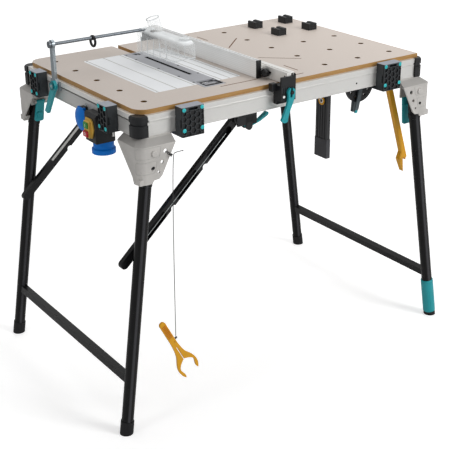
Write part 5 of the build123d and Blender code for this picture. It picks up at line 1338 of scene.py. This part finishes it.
@dataclass
class RailFrame:
    """Rails, corner connectors, leg brackets and their small screws. Lengths are in millimetres."""

    left_screws: Rows = ((-471.0, -54.0, 812.0), (-471.0, -96.0, 812.0))
    front_screw: Point = (226.0, -311.0, 808.0)
    cover: Line = ((-437.0, -312.9, 825.6), (437.0, -309.0, 830.4))
    cover_radius: float = 0.8
    bracket_face: float = 339.0
    bracket_side: float = 486.0
    bracket_radius: float = 22.0
    wrap: float = 28.8
    panel_levels: Rows = ((771.0, 744.0), (735.5, 706.0))
    panel_ends: Rows = ((-43.0, -35.5), (-30.3, -22.5))
    panel_wire: float = 0.75
    insert_x: float = 445.7
    insert_z: float = 719.0

    def build(self, palette: Palette) -> None:
        """Dress the frame and add its screws, the cover of the rail's slot and the panels."""
        dress(palette.rail_x, "front_rail", "back_rail")
        dress(palette.rail_painted_light, "left_rail", "right_rail")
        dress(palette.black, "corner_connectors")
        dress(palette.cast, *four("leg_bracket"), "leg_pivot_bolts")
        left = [mm(*place) for place in self.left_screws]
        heads = screws("left_rail_screws", left, Side.LEFT, Head.LEFT_RAIL, palette.screw)
        place_on("table", "steel", heads)
        front = [mm(*self.front_screw)]
        heads = screws("front_rail_screw", front, Side.FRONT, Head.FRONT_RAIL, palette.tube)
        place_on("table", "black_metal", heads)
        low, high = (mm(*corner) for corner in self.cover)
        cover = slab("rail_slot_cover", low, high, self.cover_radius * MM, palette.rail_x)
        place_on("table", "aluminium", cover)
        place_on("table", "cast_metal", self.panels(palette))
        inserts = [mm(x, -self.bracket_face, self.insert_z) for x in (-self.insert_x, self.insert_x)]
        heads = screws("bracket_inserts", inserts, Side.FRONT, Head.BRACKET, palette.tube)
        place_on("table", "black_metal", heads)

    def panels(self, palette: Palette) -> Piece:
        """Raised outlines of the two panels on each bracket, drawn in the painted groove shadow.

        A panel's border is a four-sided loop in height and in distance along the face, softened at
        its corners by averaging neighbours.
        """
        strands = []
        for (high, low), (top_end, low_end) in zip(self.panel_levels, self.panel_ends):
            corners = ((top_end, high), (low_end, low), (self.wrap, low), (self.wrap, high))
            border = self.on_corner(soften(np.array(corners)))
            signs = ((x, y, 1.0) for x in (-1.0, 1.0) for y in (-1.0, 1.0))
            strands += [(border * np.array(sign) * MM, self.panel_wire * MM) for sign in signs]
        return wires("bracket_panels", strands, palette.groove)

    def on_corner(self, border: np.ndarray) -> np.ndarray:
        """Carry a border of distances and heights onto a bracket's face and corner.

        Past the corner's start the distance bends round the corner: the point turns about the
        corner's centre by the distance over the radius.
        """
        reach, height = border[:, 0], border[:, 1]
        radius = self.bracket_radius
        turn = np.clip(reach, 0.0, None) / radius
        x = self.bracket_side - radius + np.clip(reach, None, 0.0) + radius * np.sin(turn)
        y = self.bracket_face - radius + radius * np.cos(turn)
        return np.stack((x, y, height), axis=-1)


@dataclass
class Legs:
    """Leg tubes, cross bars, feet, braces and the levers that lock them. Lengths are in millimetres."""

    pivot: Point = (442.0, 309.5, 755.0)
    foot: Point = (558.0, 334.5, 0.0)
    collar_levels: Pair = (682.0, 667.0)
    collar_radius: float = 17.4
    collar_bevel_share: float = 0.9
    collar_bore_share: float = 0.85
    collar_row_shares: tuple[float, ...] = (0.0, 0.06, 0.94, 1.0)
    # Painted highlight line along the front brace.
    brace_highlight: Line = ((-200.0, -293.0, 745.2), (-478.0, -293.0, 492.0))
    highlight_size: Pair = (0.5, 0.7)
    brace_lip: Line = ((-309.4, 279.0, 658.2), (-423.4, 279.0, 554.2))
    lip_size: Pair = (0.5, 3.4)
    slider_bolt: Point = (-165.4, -299.0, 777.0)

    def build(self, palette: Palette) -> None:
        """Dress the legs, and add the collars, a painted highlight and a lip on the braces, and the
        slider's bolt.
        """
        bars = ("left_cross_bar", "right_cross_bar", "brace_front", "brace_back")
        dress(palette.tube, *four("leg"), *bars)
        dress(palette.rubber, "left_foot_caps", "right_foot_cap", "levelling_pad")
        dress(palette.teal, "levelling_foot", "slider_lever_front", "slider_lever_back")
        dress(palette.black, "brace_sliders")
        dress(palette.teal, *four("lock_lever"))
        place_on("left_legs", "black_metal", self.collars("left_leg_collars", -1.0, palette))
        place_on("right_legs", "black_metal", self.collars("right_leg_collars", 1.0, palette))
        edge, lip = ([tuple(mm(*end) for end in line)] for line in (self.brace_highlight, self.brace_lip))
        place_on(
            "braces",
            "steel",
            straps("brace_highlight", edge, ALONG_Y, self.highlight_size, palette.screw),
            straps("brace_lip", lip, ALONG_Y, self.lip_size, palette.rail_painted_light),
        )
        bolt = [mm(*self.slider_bolt)]
        heads = screws("slider_bolt", bolt, Side.FRONT, Head.SLIDER, palette.screw)
        place_on("sliders", "black_plastic", heads)

    def collars(self, name: str, end: float, palette: Palette) -> Piece:
        """Short black collars round the two legs of one end, just under their brackets.

        A collar is a closed ring of revolution about the leg's axis, which runs from the pivot to
        the foot.
        """
        radius, bevel = self.collar_radius * MM, self.collar_bevel_share
        outer = (np.array((bevel, 1.0, 1.0, bevel)) * radius)[:, None, None]
        wall = outer[::-1] - self.collar_bore_share * radius
        angle = full_turn(32)
        pivot, foot = np.array(self.pivot), np.array(self.foot)
        share = (pivot[2] - np.array(self.collar_levels)) / pivot[2]
        ends = pivot + share[:, None] * (foot - pivot)
        blocks = []
        for side in (-1.0, 1.0):
            top, low = ends * np.array((end, side, 1.0)) * MM
            around = spokes(tuple(low - top), angle)[0]
            along = np.array(self.collar_row_shares)[:, None, None] * (low - top)
            shell = top + along + outer * around
            bore = shell[::-1] - wall * around
            ring = np.concatenate((shell, bore, shell[:1]))
            blocks.append((ring, grid_faces(*ring.shape[:2], True)))
        return mesh_piece(name, blocks, palette.tube)


@dataclass
class AccessoryBlocks:
    """Black holders on the rails with a teal screw in each corner. Lengths are in millimetres."""

    front_x: Pair = (-330.0, 329.0)
    front_face: float = -343.0
    front_offsets: Pair = (-26.2, 26.2)
    end_y: Pair = (186.0, -199.0)
    end_face: float = -503.0
    end_offsets: Pair = (-15.8, 15.8)
    rows: Pair = (796.0, 848.0)

    def build(self, palette: Palette) -> None:
        """Dress the blocks and set their screws."""
        dress(palette.block, "accessory_blocks")
        front = [(x + offset, self.front_face) for x in self.front_x for offset in self.front_offsets]
        end = [(self.end_face, y + offset) for y in self.end_y for offset in self.end_offsets]
        for name, side, columns in (
            ("front_block_screws", Side.FRONT, front),
            ("end_block_screws", Side.LEFT, end),
        ):
            centres = [mm(*column, row) for column in columns for row in self.rows]
            heads = screws(name, centres, side, Head.BLOCK, palette.teal_bright)
            place_on("table", "teal_plastic", heads)


@dataclass
class SwitchGear:
    """Switch box with its plate, buttons, socket lid and inlet."""

    clip_x: Pair = mm(-450.0, -443.5)
    clip_y: Pair = mm(-0.6, 1.0)
    clip_z: Pair = mm(748.5, 764.5)
    clip_radius: float = 0.6 * MM
    bar_half: Pair = mm(0.8, 4.0)
    bar_radius: float = 0.2 * MM
    ring_radii: Pair = (2.6, 3.9)
    mark_depth: float = 0.4
    mark_rise: float = 0.25

    def build(self, palette: Palette) -> None:
        """Dress the switch and mark its buttons."""
        dress(palette.black, "switch_box")
        dress(palette.yellow, "switch_plate")
        dress(palette.green, "green_button")
        dress(palette.red, "red_button")
        dress(palette.blue, "socket_lid", "power_inlet")
        place_on("green_button", "green_plastic", self.bar_mark(palette))
        place_on("red_button", "red_plastic", self.ring_mark(palette))
        place_on("table", "black_plastic", self.clip(palette))

    def clip(self, palette: Palette) -> Piece:
        """The pale clip in the side of the switch box."""
        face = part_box("switch_box")[0][1]
        low, high = (
            (x, face + y, z) for x, y, z in zip(self.clip_x, self.clip_y, self.clip_z)
        )
        return slab("box_clip", low, high, self.clip_radius, palette.white)

    def seat(self, button: str) -> Point:
        """Middle of a button's face."""
        low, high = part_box(button)
        middle = (low + high) / 2
        return low[0], middle[1], middle[2]

    def bar_mark(self, palette: Palette) -> Piece:
        """The upright bar that marks the button which switches on."""
        x, y, z = self.seat("green_button")
        half_y, half_z = self.bar_half
        low = (x - self.mark_rise * MM, y - half_y, z - half_z)
        high = (x + self.mark_depth * MM, y + half_y, z + half_z)
        return slab("on_mark", low, high, self.bar_radius, palette.white)

    def ring_mark(self, palette: Palette) -> Piece:
        """The ring that marks the button which switches off."""
        profile = ring_profile(*self.ring_radii, -self.mark_depth, self.mark_rise)
        return turned("off_mark", profile, self.seat("red_button"), Side.LEFT.value, palette.white)


@dataclass
class StoredTools:
    """Mitre bar, protractor and push stick behind the front rail."""

    eye_y: float = -242.0 * MM
    eye_z: float = 755.0 * MM
    eye_size: Point = (4.7, 12.5, 0.8)
    lip_size: Point = (4.7, 7.4, 1.3)
    arm_gap: float = 1.8 * MM
    arm_top: Pair = mm(288.5, 792.0)
    arm_low: Pair = mm(270.5, 712.0)
    arm_tip: Pair = mm(268.7, 704.0)
    arm_size: Pair = (6.5, 1.7)
    tip_size: Pair = (4.5, 1.4)
    screw_place: Pair = mm(286.0, 782.0)
    screw_gap: float = 1.6 * MM

    def build(self, palette: Palette) -> None:
        """Dress the stored tools."""
        dress(palette.bar, "mitre_bar")
        dress(palette.slate, "protractor_lever")
        dress(palette.black, "protractor")
        dress(palette.ochre, "push_stick")
        eye = (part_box("mitre_bar")[0][0], self.eye_y, self.eye_z)
        place_on(
            "table",
            "ochre_plastic",
            disc("bar_eye", eye, Side.LEFT, self.eye_size, palette.ochre),
            disc("bar_eye_lip", eye, Side.LEFT, self.lip_size, palette.white),
        )
        self.arm(palette)

    def arm(self, palette: Palette) -> None:
        """The front arm of the protractor's lever, with its screw and its teal tip."""
        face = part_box("protractor_lever")[0][1] - self.arm_gap
        top, low, tip = ((x, face, z) for x, z in (self.arm_top, self.arm_low, self.arm_tip))
        centre = (self.screw_place[0], face - self.screw_gap, self.screw_place[1])
        place_on(
            "protractor_lever",
            "black_plastic",
            straps("protractor_arm", [(top, low)], ALONG_X, self.arm_size, palette.slate),
            straps("protractor_tip", [(low, tip)], ALONG_X, self.tip_size, palette.teal),
            screws("protractor_screw", [centre], Side.FRONT, Head.PROTRACTOR, palette.screw),
        )


@dataclass
class BladeGuard:
    """Upright, arm, ring, clear hood and lever of the guard. Lengths are in millimetres."""

    hub_y: float = 95.4
    hub_z: float = 832.0
    groove_size: Point = (7.28, 11.2, 0.2)
    washer_size: Point = (0.0, 4.2, 0.5)
    screw_gap: float = 0.5
    shell_sides: Pair = (-206.0, -150.0)
    shell_back: float = 131.0
    shell_nose: float = -76.0
    rim_rows: tuple[float, ...] = (-104.0, -66.0, 131.0)
    rim_levels: tuple[float, ...] = (899.4, 883.4, 872.4)
    rib_columns: Pair = (-207.0, -149.0)
    rib_rows: tuple[float, ...] = (102.8, 69.9, 37.0, 4.1, -28.8)
    rib_levels: Pair = (880.0, 924.0)
    rib_size: Pair = (0.7, 0.5)
    rim_wire: float = 0.8
    boss: Point = (-178.0, -76.0, 947.4)
    boss_size: Point = (8.0, 13.6, 0.8)
    spout: Line = ((-178.0, 59.0, 930.0), (-178.0, 86.0, 974.0))
    lip_radii: Pair = (17.2, 19.5)
    lip_levels: Pair = (-1.4, 0.4)

    def build(self, palette: Palette) -> None:
        """Dress the guard."""
        dress(palette.upright, "guard_upright")
        dress(palette.rod, "guard_arm")
        dress(palette.black, "cable_ring")
        dress(palette.teal, "guard_lever")
        dress(palette.clear, "guard_hood")
        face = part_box("guard_lever")[0][0]
        hub = (face, *mm(self.hub_y, self.hub_z))
        seat = (face - self.screw_gap * MM, *hub[1:])
        place_on(
            "guard_lever",
            "teal_plastic",
            disc("hub_groove", hub, Side.LEFT, self.groove_size, palette.deep_teal),
            disc("hub_washer", hub, Side.LEFT, self.washer_size, palette.screw),
            screws("hub_screw", [seat], Side.LEFT, Head.HUB, palette.screw),
        )
        place_on("guard_hood", "clear_plastic", *self.edges(palette))

    def rim(self) -> np.ndarray:
        """Path of the hood's lower rim.

        It runs along both sides, and half round the nose: the point at an angle there is the nose's
        middle plus the half width times the sine and cosine. Its level falls between rows.
        """
        left, right = self.shell_sides
        half = (right - left) / 2
        turn = np.linspace(-np.pi / 2, np.pi / 2, 15)
        x = np.concatenate(([left], (left + right) / 2 + half * np.sin(turn), [right]))
        nose = self.shell_nose - half * np.cos(turn)
        y = np.concatenate(([self.shell_back], nose, [self.shell_back]))
        return np.stack((x, y, np.interp(y, self.rim_rows, self.rim_levels)), axis=-1) * MM

    def edges(self, palette: Palette) -> list[Piece]:
        """Painted highlights on the edges of the clear hood: its lower rim, its ribs, its boss and its
        spout's rim.
        """
        low, high = self.rib_levels
        ribs = [(mm(x, y, low), mm(x, y, high)) for x in self.rib_columns for y in self.rib_rows]
        base, tip = (np.array(point) * MM for point in self.spout)
        lip = ring_profile(*self.lip_radii, *self.lip_levels)
        return [
            wires("hood_rim", [(self.rim(), self.rim_wire * MM)], palette.hood_highlight),
            straps("hood_ribs", ribs, ALONG_Y, self.rib_size, palette.hood_highlight),
            disc("hood_boss", mm(*self.boss), Side.UP, self.boss_size, palette.hood_highlight),
            turned("spout_lip", lip, tuple(tip), tuple(tip - base), palette.hood_highlight),
        ]


@dataclass
class RipFence:
    """Fence beam, sliding face, knob and end clamps."""

    hole: Pair = mm(-331.0, 875.8)
    hole_gap: float = 0.5 * MM
    hole_size: Point = (0.0, 2.8, 0.25)
    pin: Point = mm(-52.9, -345.0, 827.1)
    boss_size: Point = (0.0, 7.4, 0.15)
    pin_size: Point = (0.0, 3.6, 0.3)
    rib_columns: tuple[float, ...] = mm(-58.0, -52.0, -46.0)
    rib_levels: Pair = mm(837.0, 853.0)
    rib_size: Pair = (0.9, 0.25)
    face_sides: Pair = mm(-63.0, -50.0)
    cap_low: Point = mm(-0.3, -3.5, -0.2)
    cap_high: Point = mm(0.3, 2.0, 0.4)
    cap_radius: float = 0.7 * MM
    highlight_inset: float = 2.0 * MM
    highlight_ends: Pair = mm(2.2, -0.5)
    highlight_size: Pair = (1.6, 0.15)
    cover: Line = (mm(-40.4, -339.0, 857.5), mm(-36.2, -274.0, 887.2))
    cover_radius: float = 0.4 * MM

    def build(self, palette: Palette) -> None:
        """Dress the fence and add its caps, painted highlights on its face's edges, painted shade in
        the beam's hole and its marks.
        """
        dress(palette.reeded, "fence_face")
        dress(palette.rail_painted_light, "fence_beam")
        dress(palette.black, "fence_knob", "fence_clamp_front", "fence_clamp_back")
        dress(palette.teal, "clamp_lever_front", "clamp_lever_back")
        self.face(palette)
        hole = (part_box("fence_beam")[0][0] - self.hole_gap, *self.hole)
        low, high = self.rib_levels
        ribs = [((x, self.pin[1], low), (x, self.pin[1], high)) for x in self.rib_columns]
        place_on(
            "fence",
            "black_plastic",
            # Painted shade: a dark disc over the hole in the beam's end.
            disc("beam_hole_shade", hole, Side.LEFT, self.hole_size, palette.tube),
            disc("clamp_boss", self.pin, Side.FRONT, self.boss_size, palette.black),
            disc("clamp_pin", self.pin, Side.FRONT, self.pin_size, palette.white),
            straps("clamp_ribs", ribs, ALONG_X, self.rib_size, palette.block),
        )
        cover = slab("beam_end_cover", *self.cover, self.cover_radius, palette.rail_painted_light)
        place_on("fence", "aluminium", cover)

    def face(self, palette: Palette) -> None:
        """Cap the sliding face's end and draw painted highlights along the edges of its top."""
        low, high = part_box("fence_face")
        left, right = self.face_sides
        cap_low = np.array((left, low[1], low[2])) + self.cap_low
        cap_high = np.array((right, low[1], high[2])) + self.cap_high
        cap = slab("fence_end_cap", cap_low, cap_high, self.cap_radius, palette.black)
        place_on("fence_face", "black_plastic", cap)
        start, end = low[1] + self.highlight_ends[0], high[1] + self.highlight_ends[1]
        columns = (left + self.highlight_inset, right - self.highlight_inset)
        lines = [((x, start, high[2]), (x, end, high[2])) for x in columns]
        # Painted highlights along the top edges of the sliding face.
        edges = straps("face_highlights", lines, ALONG_X, self.highlight_size, palette.plate)
        place_on("fence_face", "aluminium", edges)


def main() -> None:
    """Build the room, the cord and then each sub-assembly."""
    logging.basicConfig(level=logging.INFO, format="%(name)s: %(message)s")
    bpy.context.scene.view_settings.view_transform = "Standard"
    Studio().build()
    palette = build_palette()
    assemblies = (
        HangingTool(),
        TableTop(),
        RailFrame(),
        Legs(),
        AccessoryBlocks(),
        SwitchGear(),
        StoredTools(),
        BladeGuard(),
        RipFence(),
    )
    for assembly in assemblies:
        LOG.info("building %s", type(assembly).__name__)
        assembly.build(palette)


if __name__ == "__main__":
    main()
